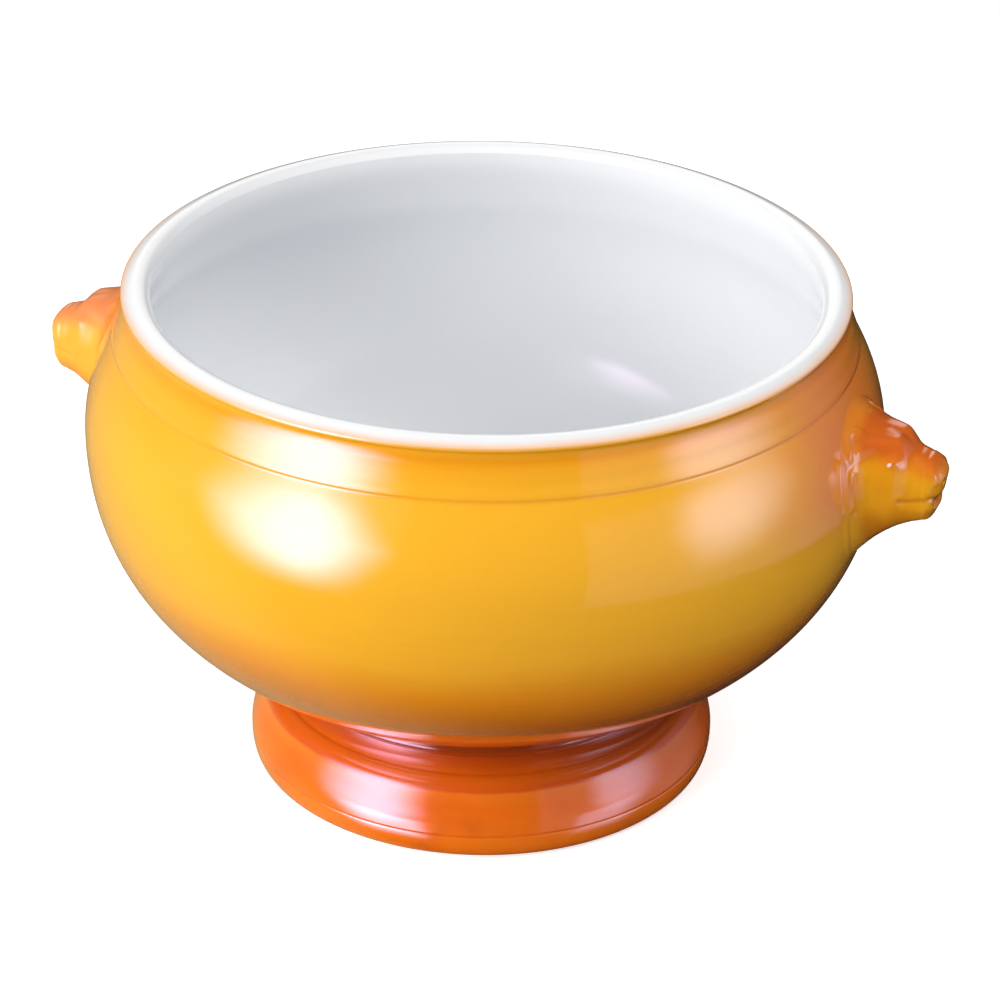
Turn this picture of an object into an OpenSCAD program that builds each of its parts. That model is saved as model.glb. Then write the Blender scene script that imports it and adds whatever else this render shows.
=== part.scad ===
// Footed soup bowl with a rolled lip, a white lined inside and two lion head handles.
// Sizes are in millimetres. The bowl stands on the plane z = 0, its axis is Z,
// and the two heads look out along the X axis.

/* [Bowl] */
// Outer diameter across the rolled lip
rim_d = 125; // [115:1:135]
// Height from the table to the top of the lip
height = 91.6; // [87:0.2:105]
// How far the widest line of the belly stands outside the lip
belly_out = 6.8; // [3.5:0.1:10]
// Height of the widest line, as a share of the height of the bowl
belly_z_share = 0.71; // [0.66:0.001:0.74]
// Wall thickness of the bowl, white glaze included
wall = 5; // [3.5:0.1:6.5]
// Thickness of the floor over the hollow of the foot, white glaze included
floor_thickness = 5.8; // [4:0.1:9]
// Radius of the flat middle of the floor inside
floor_flat_r = 19; // [10:0.5:24]

/* [Lip and shoulder] */
// Thickness of the rolled lip
lip_d = 5.5; // [4.6:0.1:6.5]
// Roundness of the lip's outer edge
lip_edge_r = 0.55; // [0.5:0.05:0.8]
// Depth of the middle of that edge below the top of the lip
lip_edge_drop = 1.25; // [1.1:0.05:1.6]
// How far the lip stands out over the top of the neck
lip_overhang = 0.6; // [0.4:0.05:1]
// Depth of the top of the neck below the top of the lip
neck_top_drop = 2.1; // [1.9:0.1:3]
// Height of the shoulder line below the top of the lip
shoulder_drop = 9.5; // [8:0.1:12]
// How far the shoulder stands outside the lip
shoulder_out = 1.7; // [0.8:0.1:3]
// Width of the incised shoulder line
shoulder_line_w = 0.5; // [0.3:0.1:1.2]
// Depth of the incised shoulder line
shoulder_line_depth = 0.12; // [0.06:0.02:0.4]

/* [White glaze] */
// Thickness of the white glaze
glaze_thickness = 0.4; // [0.2:0.05:0.45]
// Angle on the lip's outer edge at which the white glaze ends, up from level
glaze_edge_angle = 42; // [20:1:60]

/* [Waist] */
// Height of the waist, where the bowl sits on its foot
waist_z = 16.9; // [13:0.1:19]
// How far the waist draws in from the outside of the foot
waist_in = 7.3; // [5.8:0.1:10]
// Height of the bead
bead_h = 3.4; // [2.4:0.1:4.6]
// Climb of the belly just above the bead, in degrees from level
belly_start_angle = 22.8; // [16:0.2:32]

/* [Foot] */
// Outer diameter of the foot
foot_d = 82.8; // [78:0.2:92]
// Height of the plain band round the bottom of the foot
foot_band_h = 4.8; // [2.5:0.1:6]
// Width of the fine line above that band
foot_line_w = 0.5; // [0.3:0.05:0.8]
// Depth of that line
foot_line_depth = 0.15; // [0.05:0.01:0.3]
// Height of the top edge of the flare
flare_top_z = 12.2; // [10:0.1:12.4]
// How far the flare draws in from its foot to its top edge
flare_in = 2.3; // [1:0.1:3]
// Width of the rounded step above the flare
step_w = 2.8; // [1.6:0.1:3.2]
// Height of that step
step_h = 2.2; // [1.4:0.1:2.6]
// Thickness of the foot at its seat under the bowl
foot_seat_w = 5.6; // [4:0.1:8]

/* [Standing ring] */
// How far the bare standing ring lies in from the outside of the foot
ring_in = 1.8; // [1.2:0.1:3.4]
// Width of the standing ring
ring_w = 4.6; // [3:0.1:5.2]
// Height of the standing ring, most of it let into the foot
ring_h = 1.4; // [0.9:0.1:2]
// How far the ring stands below the glazed edge of the foot
ring_stand = 0.4; // [0.2:0.05:0.7]
// Bevel along both lower edges of the ring
ring_bevel = 0.3; // [0.1:0.05:0.6]
// Width of the glazed edge inside the ring
inner_edge_w = 0.7; // [0.4:0.1:1.4]

/* [Lion heads] */
// How far the nose stands out from the widest line of the belly
head_reach = 12.9; // [11:0.1:18]
// How far the root section of a head lies inside the widest line of the belly
head_root_depth = 3.3; // [2:0.1:5]
// How far the middle of the muzzle lies above the widest line of the belly
head_rise = 2.2; // [-2:0.1:5]
// Height of a head from jaw to brow
head_h = 17; // [15:0.1:23]
// Width of a head across the cheeks
head_w = 17; // [15:0.1:26]
// Clay slip between a head and the bowl
slip_gap = 0.05; // [0.04:0.01:0.15]
// Rings of faces along a head
head_rings = 38; // [16:1:44]
// Faces round a head
head_sides = 64; // [24:4:64]

/* [Hidden] */
$fn = 120;

// Steps of each curve in a profile, of the lip's outer edge and of the white glaze on that edge
curve_steps = 14;
edge_steps = 6;
edge_glaze_steps = 2;

rim_r = rim_d / 2;
belly_r = rim_r + belly_out;
belly_z = belly_z_share * height;
lip_r = lip_d / 2;
foot_r = foot_d / 2;
waist_r = foot_r - waist_in;
ring_r = foot_r - ring_in;
ring_inner_r = ring_r - ring_w;

// Middle of the lip's round section, and the angle at which the inside wall leaves it
lip_middle = [rim_r - lip_r, height - lip_r];
lip_inside_angle = 197;

// Middle of the lip's outer edge, the angle at which its underside leaves it,
// and the angle at which its top runs level with the lip's round section
lip_edge_middle = [rim_r - lip_edge_r, height - lip_edge_drop];
lip_under_angle = -60;
lip_top_angle = 2 * atan2(lip_r - lip_edge_drop, lip_r - lip_edge_r);

// Middle of the bead's round section, and the angle at which the belly leaves it
bead_round_r = bead_h / 2;
bead_middle = [waist_r, waist_z + bead_round_r];
bead_top_angle = 65;

shoulder_r = rim_r + shoulder_out;
shoulder_z = height - shoulder_drop;
shoulder_angle = 120.6;
floor_z = waist_z + floor_thickness;

// Pulls of the curves, as shares of the spans that they cross
belly_low_pull_share = 0.68;
belly_mid_pull_share = 0.49;
belly_high_pull_share = 0.37;
shoulder_pull_share = 0.33;
neck_low_pull_share = 0.6;
neck_high_pull_share = 0.2;
neck_start_angle = 110;
neck_end_angle = 88;
inner_neck_pull_share = 0.3;
floor_pull_share = 0.55;

// Unit vector at an angle
function heading(angle) = [cos(angle), sin(angle)];

// Point at share t of a cubic curve with the four given control points
function curve_point(c, t) =
    pow(1 - t, 3) * c[0] + 3 * t * pow(1 - t, 2) * c[1] + 3 * t * t * (1 - t) * c[2] + pow(t, 3) * c[3];

// Direction of that curve at share t
function curve_slope(c, t) =
    pow(1 - t, 2) * (c[1] - c[0]) + 2 * t * (1 - t) * (c[2] - c[1]) + t * t * (c[3] - c[2]);

// Points along a cubic curve
function curve(c) = [for (i = [0 : curve_steps]) curve_point(c, i / curve_steps)];

// Points of a wall's other face, a thickness to the left of the curve's direction
function inner_curve(c, thickness) =
    [for (i = [0 : curve_steps])
        let (t = i / curve_steps, s = curve_slope(c, t))
        curve_point(c, t) + thickness * [-s.y, s.x] / norm(s)];

// Points along an arc
function arc(middle, r, from, to, steps = curve_steps) =
    [for (i = [0 : steps]) middle + r * heading(from + (to - from) * i / steps)];

function reversed(points) = [for (i = [len(points) - 1 : -1 : 0]) points[i]];
function without_first(points) = [for (i = [1 : len(points) - 1]) points[i]];

// Lower belly, from the bead to the widest line
belly_start = bead_middle + bead_round_r * heading(bead_top_angle);
belly_widest = [belly_r, belly_z];
belly_low_pull = belly_low_pull_share * (belly_r - belly_start.x);
belly_mid_pull = belly_mid_pull_share * (belly_z - belly_start.y);
lower_belly = [
    belly_start,
    belly_start + belly_low_pull * heading(belly_start_angle),
    belly_widest - [0, belly_mid_pull],
    belly_widest];

// Upper belly, from the widest line to the shoulder line
shoulder_low = [shoulder_r, shoulder_z - shoulder_line_w / 2];
upper_span = shoulder_low.y - belly_z;
upper_belly = [
    belly_widest,
    belly_widest + [0, belly_high_pull_share * upper_span],
    shoulder_low - shoulder_pull_share * upper_span * heading(shoulder_angle),
    shoulder_low];

// Neck, from the shoulder line to the underside of the lip
neck_low = [shoulder_r - shoulder_line_depth, shoulder_z + shoulder_line_w / 2];
neck_high = [rim_r - lip_overhang, height - neck_top_drop];
neck_span = neck_high.y - neck_low.y;
neck = [
    neck_low,
    neck_low + neck_low_pull_share * neck_span * heading(neck_start_angle),
    neck_high - neck_high_pull_share * neck_span * heading(neck_end_angle),
    neck_high];

shoulder_line_bottom = [shoulder_r - 2 * shoulder_line_depth, shoulder_z];
lip_outside = arc(lip_edge_middle, lip_edge_r, lip_under_angle, glaze_edge_angle, edge_steps);

// Outside of the bowl, from the waist to the edge of the white glaze
bowl_outside = concat(
    arc(bead_middle, bead_round_r, -90, bead_top_angle),
    without_first(curve(lower_belly)),
    without_first(curve(upper_belly)),
    [shoulder_line_bottom],
    curve(neck),
    lip_outside);

// Inside of the bowl from the edge of the white glaze to the axis, with a skin of glaze taken off
function bowl_inside(skin) =
    let (
        upper = inner_curve(upper_belly, wall - skin),
        lower = inner_curve(lower_belly, wall - skin),
        lip_edge = arc(lip_edge_middle, lip_edge_r - skin, glaze_edge_angle, lip_top_angle, edge_glaze_steps),
        lip_inner = arc(lip_middle, lip_r - skin, lip_top_angle, lip_inside_angle),
        neck_top = lip_inner[curve_steps],
        neck_bottom = upper[curve_steps],
        neck_pull = inner_neck_pull_share * (neck_top.y - neck_bottom.y),
        inner_neck = [
            neck_top,
            neck_top + neck_pull * heading(lip_inside_angle + 90),
            neck_bottom - neck_pull * heading(shoulder_angle),
            neck_bottom],
        floor_top = floor_z - skin,
        floor_start = lower[0],
        floor_pull = floor_pull_share * (floor_start.x - floor_flat_r),
        floor_curve = [
            floor_start,
            floor_start - floor_pull * heading(belly_start_angle),
            [floor_flat_r + floor_pull, floor_top],
            [floor_flat_r, floor_top]])
    concat(
        lip_edge,
        lip_inner,
        without_first(curve(inner_neck)),
        without_first(reversed(upper)),
        without_first(reversed(lower)),
        without_first(curve(floor_curve)),
        [[0, floor_top]]);

module bowl_body() {
    color("orange")
    rotate_extrude()
    polygon(concat([[0, waist_z]], bowl_outside, bowl_inside(glaze_thickness)));
}

module liner_glaze() {
    color("white")
    rotate_extrude()
    polygon(concat(bowl_inside(0), reversed(bowl_inside(glaze_thickness))));
}

// Outline of the foot, from the glazed edge beside the ring up to the seat under the bowl
flare_start = [foot_r, foot_band_h + foot_line_w / 2];
flare_end = [foot_r - flare_in, flare_top_z];
step_end = flare_end + [-step_w, step_h];
flare_span = flare_end.y - flare_start.y;
cove_h = waist_z - step_end.y;
cove_w = step_end.x - waist_r;

// Pulls of the foot's curves, as shares of the spans that they cross
flare_low_pull_share = 0.4;
flare_high_pull_share = 0.22;
step_pull_share = 0.45;
step_lean_share = 0.25;
cove_pull_share = 0.55;
edge_pull_share = 0.7;
band_belly_share = 0.42;

flare = [
    flare_start,
    flare_start + [0, flare_low_pull_share * flare_span],
    flare_end + flare_high_pull_share * [flare_in, -flare_span],
    flare_end];
foot_step = [
    flare_end,
    flare_end + step_pull_share * [-step_lean_share * step_w, step_h],
    step_end + step_pull_share * [step_w, 0],
    step_end];
cove = [
    step_end,
    step_end - [cove_pull_share * cove_w, 0],
    [waist_r, waist_z - cove_pull_share * cove_h],
    [waist_r, waist_z]];
band_edge = [ring_r, ring_stand];
band_top = [foot_r, foot_band_h - foot_line_w / 2];
band_rise = band_top.y - band_edge.y;
band = [
    band_edge,
    band_edge + [edge_pull_share * (foot_r - ring_r), 0],
    [foot_r, band_edge.y + band_belly_share * band_rise],
    band_top];
foot_line_bottom = [foot_r - foot_line_depth, foot_band_h];

// Hollow of the foot, from the seat down to the glazed edge inside the ring
hollow_top = [waist_r - foot_seat_w, waist_z];
hollow_low = [ring_inner_r - inner_edge_w, ring_stand + inner_edge_w];
hollow_span = hollow_top.y - hollow_low.y;
hollow_pull_share = 0.35;
hollow = [
    hollow_top,
    hollow_top - [0, hollow_pull_share * hollow_span],
    hollow_low + [0, hollow_pull_share * hollow_span],
    hollow_low];

module pedestal_foot() {
    color("darkorange")
    rotate_extrude()
    polygon(concat(
        [[ring_r, ring_h]],
        curve(band),
        [foot_line_bottom],
        curve(flare),
        without_first(curve(foot_step)),
        without_first(curve(cove)),
        curve(hollow),
        [[ring_inner_r, ring_stand]],
        [[ring_inner_r, ring_h]]));
}

module standing_ring() {
    color("wheat")
    rotate_extrude()
    polygon([
        [ring_inner_r, ring_h],
        [ring_inner_r, ring_bevel],
        [ring_inner_r + ring_bevel, 0],
        [ring_r - ring_bevel, 0],
        [ring_r, ring_bevel],
        [ring_r, ring_h]]);
}

// Radius of the bowl's outside at a height
belly_table = [for (p = bowl_outside) [p.y, p.x]];
function seat_x(y, z) = sqrt(pow(lookup(z, belly_table), 2) - y * y);

head_root_x = belly_r - head_root_depth;
head_len = head_root_depth + head_reach;
head_z = belly_z + head_rise;

// Sections of a head from its root to the front of the muzzle: how far along the head,
// how far the section reaches up and down in heights of the head, out in its widths,
// and how round it is, from 1 for an ellipse down to 0 for a rectangle
section_shares = [
    [0.00, 0.790, 0.960, 0.820, 1.00],
    [0.05, 0.745, 0.920, 0.780, 1.00],
    [0.11, 0.690, 0.855, 0.700, 1.00],
    [0.17, 0.640, 0.790, 0.610, 0.97],
    [0.23, 0.600, 0.725, 0.545, 0.93],
    [0.32, 0.565, 0.635, 0.495, 0.90],
    [0.42, 0.540, 0.550, 0.465, 0.88],
    [0.53, 0.510, 0.470, 0.430, 0.84],
    [0.60, 0.455, 0.435, 0.385, 0.82],
    [0.66, 0.385, 0.410, 0.345, 0.80],
    [0.72, 0.350, 0.385, 0.320, 0.78],
    [0.77, 0.342, 0.375, 0.305, 0.76],
    [0.82, 0.320, 0.355, 0.285, 0.76]];
section_count = len(section_shares);
muzzle_start_share = section_shares[section_count - 1][0];

// How far the blunt front of the muzzle domes forward, as a share of the head's length
front_dome_share = 0.165;
// Exponent that sets how square the blunt front is
front_power = 2.2;
// Share of a head's rings that lie on its blunt front
front_rings_share = 0.3;
// Share of the head's length over which its root follows the bowl
root_blend_share = 0.16;
// Share of the rings' spacing that closes up towards the root
root_crowding_share = 0.35;
// Share of the head's length at which its spine ends, behind the blunt front
spine_end_share = 0.6;

function column(k) = [for (s = section_shares) [s[0], s[k]]];
up_table = column(1);
down_table = column(2);
side_table = column(3);
round_table = column(4);

// Carved lines and swellings, from the collar of the mane to the nose. Each has its points as
// shares of the head's length, width and height from the middle of the root section, then its
// width and height as shares of the head's width, and how far it is pushed forward instead of out.
carving_shares = [
    // collar of the mane
    [[[0.00, 0.50, 0.60], [0.02, 0.60, 0.50], [0.05, 0.70, 0.36], [0.08, 0.745, 0.17],
        [0.10, 0.76, -0.05], [0.11, 0.66, -0.26]], 0.070, 0.032, 0.8],
    // hollow between the collar and the jaw
    [[[0.095, 0.655, 0.33], [0.115, 0.66, 0.12], [0.13, 0.65, -0.09]], 0.045, -0.030, 0.6],
    // lock of the mane behind the jaw, and the crease in front of it
    [[[0.16, 0.60, 0.25], [0.16, 0.63, 0.05], [0.17, 0.61, -0.12]], 0.035, 0.030, 0.3],
    [[[0.19, 0.565, 0.23], [0.18, 0.61, 0.04], [0.205, 0.57, -0.16]], 0.022, -0.030, 0.1],
    // rim of the ear and the hollow in it
    [[[0.12, 0.55, 0.40], [0.06, 0.44, 0.59], [0.10, 0.31, 0.62], [0.19, 0.31, 0.575]], 0.036, 0.030, 0.3],
    [[[0.13, 0.43, 0.53], [0.16, 0.40, 0.53]], 0.060, -0.020, 0.1],
    // brow, the crease under it and the furrow of the forehead
    [[[0.25, 0.35, 0.50], [0.38, 0.27, 0.51], [0.52, 0.20, 0.48]], 0.100, 0.030, 0.2],
    [[[0.16, 0.54, 0.375], [0.29, 0.41, 0.393], [0.43, 0.33, 0.424], [0.53, 0.27, 0.446]],
        0.045, -0.016, 0.0],
    [[[0.40, 0.00, 0.58], [0.62, 0.00, 0.48]], 0.050, -0.012, 0.0],
    // eye
    [[[0.535, 0.37, 0.335], [0.55, 0.365, 0.33]], 0.055, 0.035, 0.1],
    // mouth, from its corner round the front of the muzzle, and the lower lip
    [[[0.62, 0.37, -0.065], [0.745, 0.315, -0.065], [0.86, 0.28, -0.05], [0.93, 0.22, -0.045],
        [0.99, 0.00, -0.10]], 0.024, -0.020, 0.5],
    [[[0.65, 0.335, -0.16], [0.80, 0.275, -0.18], [0.89, 0.245, -0.16], [0.97, 0.00, -0.18]],
        0.050, 0.012, 0.5],
    // notch of the mouth under the nose, and the chin set back behind it
    [[[0.96, 0.14, -0.11], [0.99, 0.00, -0.125]], 0.045, -0.050, 1.0],
    [[[0.93, 0.20, -0.20], [0.97, 0.00, -0.22]], 0.110, -0.014, 1.0],
    // wing of the nose, leather of the nose and nostril
    [[[0.90, 0.21, 0.20], [0.905, 0.205, 0.12]], 0.045, 0.022, 0.5],
    [[[0.97, 0.09, 0.16], [0.98, 0.00, 0.16]], 0.110, 0.040, 1.0],
    [[[0.98, 0.085, 0.09], [0.985, 0.08, 0.085]], 0.032, -0.020, 0.9]];

// A point given in shares of a head
function head_point(s) = [head_root_x + s.x * head_len, s.y * head_w, head_z + s.z * head_h];

carvings = [for (c = carving_shares)
    [[for (s = c[0]) head_point(s)], c[1] * head_w, c[2] * head_w, c[3]]];

// Distance from a point to a straight stretch
function stretch_distance(p, a, b) =
    let (span = b - a, t = max(0, min(1, ((p - a) * span) / (span * span))))
    norm(p - a - t * span);

// Distance from a point to a carved line
function line_distance(p, line) =
    min([for (i = [1 : len(line) - 1]) stretch_distance(p, line[i - 1], line[i])]);

spine_end_x = head_root_x + spine_end_share * head_len;

// Widths of a carving beyond which it has faded away
carving_fade = 3;

// Push that one carving gives at a point: its own height, fading with the distance from it
function push(p, c) =
    let (reach = line_distance([p.x, abs(p.y), p.z], c[0]) / c[1])
    reach > carving_fade ? 0 : c[2] * exp(-reach * reach);

// A point moved by every carving, out from the spine or forward
function carved(p) =
    let (
        from_spine = p - [min(p.x, spine_end_x), 0, head_z],
        out = from_spine / norm(from_spine),
        pushes = [for (c = carvings) push(p, c)],
        forward = [for (i = [0 : len(carvings) - 1]) pushes[i] * carvings[i][3]])
    p + (sum(pushes) - sum(forward)) * out + [sum(forward), 0, 0];

function sum(values, i = 0) = i < len(values) ? values[i] + sum(values, i + 1) : 0;

// Signed power, which squares up a round section
function squared_up(v, power) = sign(v) * pow(abs(v), power);

// Offset from the spine at an angle round the section at a share of the head's length
function section_offset(share, angle) =
    let (
        side = lookup(share, side_table) * head_w,
        rise = lookup(share, sin(angle) > 0 ? up_table : down_table) * head_h,
        power = lookup(share, round_table))
    [side * squared_up(cos(angle), power), rise * squared_up(sin(angle), power)];

// Point on the side of the head: at the root it lies on the bowl, and farther out on its section
function side_point(share, angle) =
    let (
        o = section_offset(share, angle),
        seat = seat_x(o.x, head_z + o.y),
        plane = head_root_x + share * head_len,
        free = min(1, share / root_blend_share),
        x = max(seat, seat + (plane - seat) * free))
    [x + slip_gap, o.x, head_z + o.y];

// Least thickness of the thin edge of a head, where it runs out on the bowl
head_edge_thickness = 0.2;

// A carved point kept that far out from the bowl
function kept_clear(p) = [max(p.x, seat_x(p.y, p.z) + slip_gap + head_edge_thickness), p.y, p.z];

// Point on the blunt front, at a share of the way in from its rim to its middle
function front_point(share, angle) =
    let (
        o = section_offset(muzzle_start_share, angle) * (1 - share),
        dome = front_dome_share * head_len * pow(1 - pow(1 - share, front_power), 1 / 2))
    [head_root_x + muzzle_start_share * head_len + dome + slip_gap, o.x, head_z + o.y];

front_rings = round(front_rings_share * head_rings);
side_rings = head_rings - front_rings;
// Rings of faces on the seat of a head
seat_rings = 7;

// Rings lie closer together at the root
function ring_share(i) =
    let (t = i / side_rings)
    muzzle_start_share * (root_crowding_share * t * t + (1 - root_crowding_share) * t);
function seat_point(share, angle) =
    let (o = section_offset(0, angle) * share)
    [seat_x(o.x, head_z + o.y) + slip_gap, o.x, head_z + o.y];

head_angles = [for (k = [0 : head_sides - 1]) 360 * k / head_sides];
head_loops = concat(
    [for (i = [1 : seat_rings - 1]) [for (a = head_angles) seat_point(i / seat_rings, a)]],
    [[for (a = head_angles) side_point(0, a)]],
    [for (i = [1 : side_rings]) [for (a = head_angles) kept_clear(carved(side_point(ring_share(i), a)))]],
    [for (i = [1 : front_rings - 1]) [for (a = head_angles) carved(front_point(i / front_rings, a))]]);
loop_count = len(head_loops);

module lion_head() {
    points = concat(
        [for (loop = head_loops) each loop],
        [seat_point(0, 0)],
        [carved(front_point(1, 0))]);
    back = len(points) - 2;
    front = len(points) - 1;
    last = (loop_count - 1) * head_sides;
    sides = [
        for (i = [0 : loop_count - 2])
        for (k = [0 : head_sides - 1])
        let (a = i * head_sides + k, b = i * head_sides + (k + 1) % head_sides)
        each [[a, b + head_sides, b], [a, a + head_sides, b + head_sides]]];
    back_faces = [for (k = [0 : head_sides - 1]) [back, k, (k + 1) % head_sides]];
    front_faces = [for (k = [0 : head_sides - 1]) [front, last + (k + 1) % head_sides, last + k]];
    polyhedron(points, concat(sides, back_faces, front_faces));
}

module lion_head_right() {
    color("goldenrod") lion_head();
}

module lion_head_left() {
    color("goldenrod") rotate([0, 0, 180]) lion_head();
}

bowl_body();
liner_glaze();
pedestal_foot();
standing_ring();
lion_head_right();
lion_head_left();
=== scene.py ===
"""Looks of a footed soup bowl with a rolled lip and two lion head handles.

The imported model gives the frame. Every piece here stands for one of its nodes, with the same
shape made finer, and wears its fired glaze. Sizes are in millimetres until a mesh is made.
"""
import logging
import math
from dataclasses import dataclass, field
from enum import Enum
from typing import Callable, Optional, Union

import bpy
import numpy as np
from mathutils import Matrix, Vector


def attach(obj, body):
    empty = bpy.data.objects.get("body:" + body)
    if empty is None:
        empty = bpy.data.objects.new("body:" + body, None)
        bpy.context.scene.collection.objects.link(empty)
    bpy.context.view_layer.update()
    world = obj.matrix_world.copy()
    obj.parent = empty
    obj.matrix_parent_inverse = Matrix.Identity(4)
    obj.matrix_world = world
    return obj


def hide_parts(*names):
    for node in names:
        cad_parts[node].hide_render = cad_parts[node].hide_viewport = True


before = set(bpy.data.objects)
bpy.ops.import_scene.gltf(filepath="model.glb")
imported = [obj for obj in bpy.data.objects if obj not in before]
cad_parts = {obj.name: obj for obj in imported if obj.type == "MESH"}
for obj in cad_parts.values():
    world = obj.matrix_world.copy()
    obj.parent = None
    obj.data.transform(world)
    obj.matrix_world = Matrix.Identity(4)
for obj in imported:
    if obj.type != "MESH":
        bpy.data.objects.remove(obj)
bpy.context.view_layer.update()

MM = 0.001

# length in millimetres that counts as none
TINY = 1e-9

# what each point of a head's mesh tells its glaze: the carving there, and how far it stands off the wall
HEAD_VALUES = ("carving", "stand")

log = logging.getLogger("soup_bowl")


# Lines of a profile


def heading(degrees: float) -> np.ndarray:
    """Unit vector at an angle, with 0 pointing away from the axis and 90 straight up."""
    return np.array([math.cos(math.radians(degrees)), math.sin(math.radians(degrees))])


def direction(azimuth: float, elevation: float) -> Vector:
    """Unit vector of a look from the bowl, with azimuth 0 on the near side and 90 on the right."""
    a, e = math.radians(azimuth), math.radians(elevation)
    return Vector((math.sin(a) * math.cos(e), -math.cos(a) * math.cos(e), math.sin(e)))


def eased(share: np.ndarray, reach: float) -> np.ndarray:
    """A smooth rise from 0 to 1 over a reach."""
    rise = np.clip(share / reach, 0, 1)
    return rise * rise * (3 - 2 * rise)


def point(r: float, z: float) -> np.ndarray:
    """Point of a profile at a radius and a height."""
    return np.array([r, z], float)


def arc(middle: np.ndarray, radius: float, start: float, end: float, steps: int = 48) -> np.ndarray:
    """Points along an arc.

    Args:
        middle: centre of the arc.
        radius: its radius.
        start: angle at which it starts, in degrees.
        end: angle at which it ends.
        steps: stretches between its points.

    Returns:
        Array of steps + 1 points.
    """
    return np.array([middle + radius * heading(a) for a in np.linspace(start, end, steps + 1)])


@dataclass(frozen=True)
class Pull:
    """Cubic curve held by four points, as a potter pulls a wall between two heights."""

    start: np.ndarray
    leave: np.ndarray
    arrive: np.ndarray
    end: np.ndarray

    def points(self, steps: int = 80) -> np.ndarray:
        """Points along the curve."""
        t = np.linspace(0, 1, steps + 1)[:, None]
        return ((1 - t) ** 3 * self.start + 3 * t * (1 - t) ** 2 * self.leave
                + 3 * t * t * (1 - t) * self.arrive + t ** 3 * self.end)

    def inner(self, thickness: float, steps: int = 80) -> np.ndarray:
        """Points of the wall's other face, to the left of the curve's direction.

        Args:
            thickness: distance between the two faces.
            steps: stretches between the points.

        Returns:
            Array of points, in the order of the curve.
        """
        t = np.linspace(0, 1, steps + 1)[:, None]
        slope = ((1 - t) ** 2 * (self.leave - self.start) + 2 * t * (1 - t) * (self.arrive - self.leave)
                 + t * t * (self.end - self.arrive))
        slope /= np.linalg.norm(slope, axis=1)[:, None]
        return self.points(steps) + thickness * np.column_stack([-slope[:, 1], slope[:, 0]])


def softened(line: np.ndarray, reach: float, step: float = 0.04) -> np.ndarray:
    """A line whose corners are rounded, as glaze rounds them, with its two ends held.

    Args:
        line: corner points of the line.
        reach: how far from a corner the rounding spreads.
        step: distance between the points of the result.

    Returns:
        Array of evenly spaced points.
    """
    keep = np.concatenate([[True], np.linalg.norm(np.diff(line, axis=0), axis=1) > TINY])
    line = line[keep]
    along = np.concatenate([[0], np.cumsum(np.linalg.norm(np.diff(line, axis=0), axis=1))])
    count = int(along[-1] / step) + 1
    even = np.linspace(0, along[-1], count)
    points = np.column_stack([np.interp(even, along, line[:, k]) for k in range(2)])
    half = int(3 * reach / step)
    weights = np.exp(-0.5 * (np.arange(-half, half + 1) * step / reach) ** 2)
    weights /= weights.sum()
    before = 2 * points[0] - points[half:0:-1]
    after = 2 * points[-1] - points[-2:-half - 2:-1]
    padded = np.vstack([before, points, after])
    return np.column_stack([np.convolve(padded[:, k], weights, "valid") for k in range(2)])


def thinned(line: np.ndarray, turn: float, longest: float) -> np.ndarray:
    """Fewer points of a dense line: close together where it bends, and farther apart elsewhere.

    Args:
        line: evenly spaced points.
        turn: degrees that the line turns between two points that are kept.
        longest: greatest distance between two points that are kept.

    Returns:
        Array of the points that are kept, first and last included.
    """
    steps = np.diff(line, axis=0)
    lengths = np.linalg.norm(steps, axis=1)
    angles = np.unwrap(np.arctan2(steps[:, 1], steps[:, 0]))
    bends = np.abs(np.gradient(angles)) * 180 / math.pi
    cost = np.concatenate([[0], np.cumsum(lengths / longest + bends / turn)])
    count = max(3, int(math.ceil(cost[-1])) + 1)
    kept = np.interp(np.linspace(0, cost[-1], count), cost, np.arange(len(line)))
    return np.column_stack([np.interp(kept, np.arange(len(line)), line[:, k]) for k in range(2)])


# Node trees


Value = Union["Socket", float, int, tuple]


def operator(operation: str, swapped: bool = False) -> Callable:
    """A method of Socket that adds a Math node.

    Args:
        operation: what the node works out.
        swapped: whether the other value comes first, as in 1 - mask.

    Returns:
        The method.
    """
    def method(self: "Socket", *values: Value) -> "Socket":
        """The Math node's result."""
        return self.graph.maths(operation, *((*values, self) if swapped else (self, *values)))
    return method


class Socket:
    """One output of a node, with the operators of shader maths."""

    __add__ = __radd__ = operator("ADD")
    __sub__ = operator("SUBTRACT")
    __rsub__ = operator("SUBTRACT", swapped=True)
    __mul__ = __rmul__ = operator("MULTIPLY")
    __truediv__ = operator("DIVIDE")
    __pow__ = operator("POWER")
    __abs__ = operator("ABSOLUTE")
    __gt__ = operator("GREATER_THAN")
    __lt__ = operator("LESS_THAN")
    floor = operator("FLOOR")

    def __init__(self, graph: "Graph", out: bpy.types.NodeSocket) -> None:
        """Wraps an output of a node in a graph."""
        self.graph = graph
        self.out = out

    def __neg__(self) -> "Socket":
        """Opposite."""
        return self * -1.0

    def other(self, name: str) -> "Socket":
        """Another output of the same node."""
        return Socket(self.graph, self.out.node.outputs[name])

    def within(self, low: float, high: float) -> "Socket":
        """0 below low, 1 above high, and a smooth rise between them.

        Args:
            low: value at which the rise starts.
            high: value at which it ends, which may be below low for a fall.

        Returns:
            The socket of the rise.
        """
        rise = self.graph.maths("DIVIDE", self - low, high - low, clamp=True)
        return rise * rise * (3 - 2 * rise)


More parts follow.
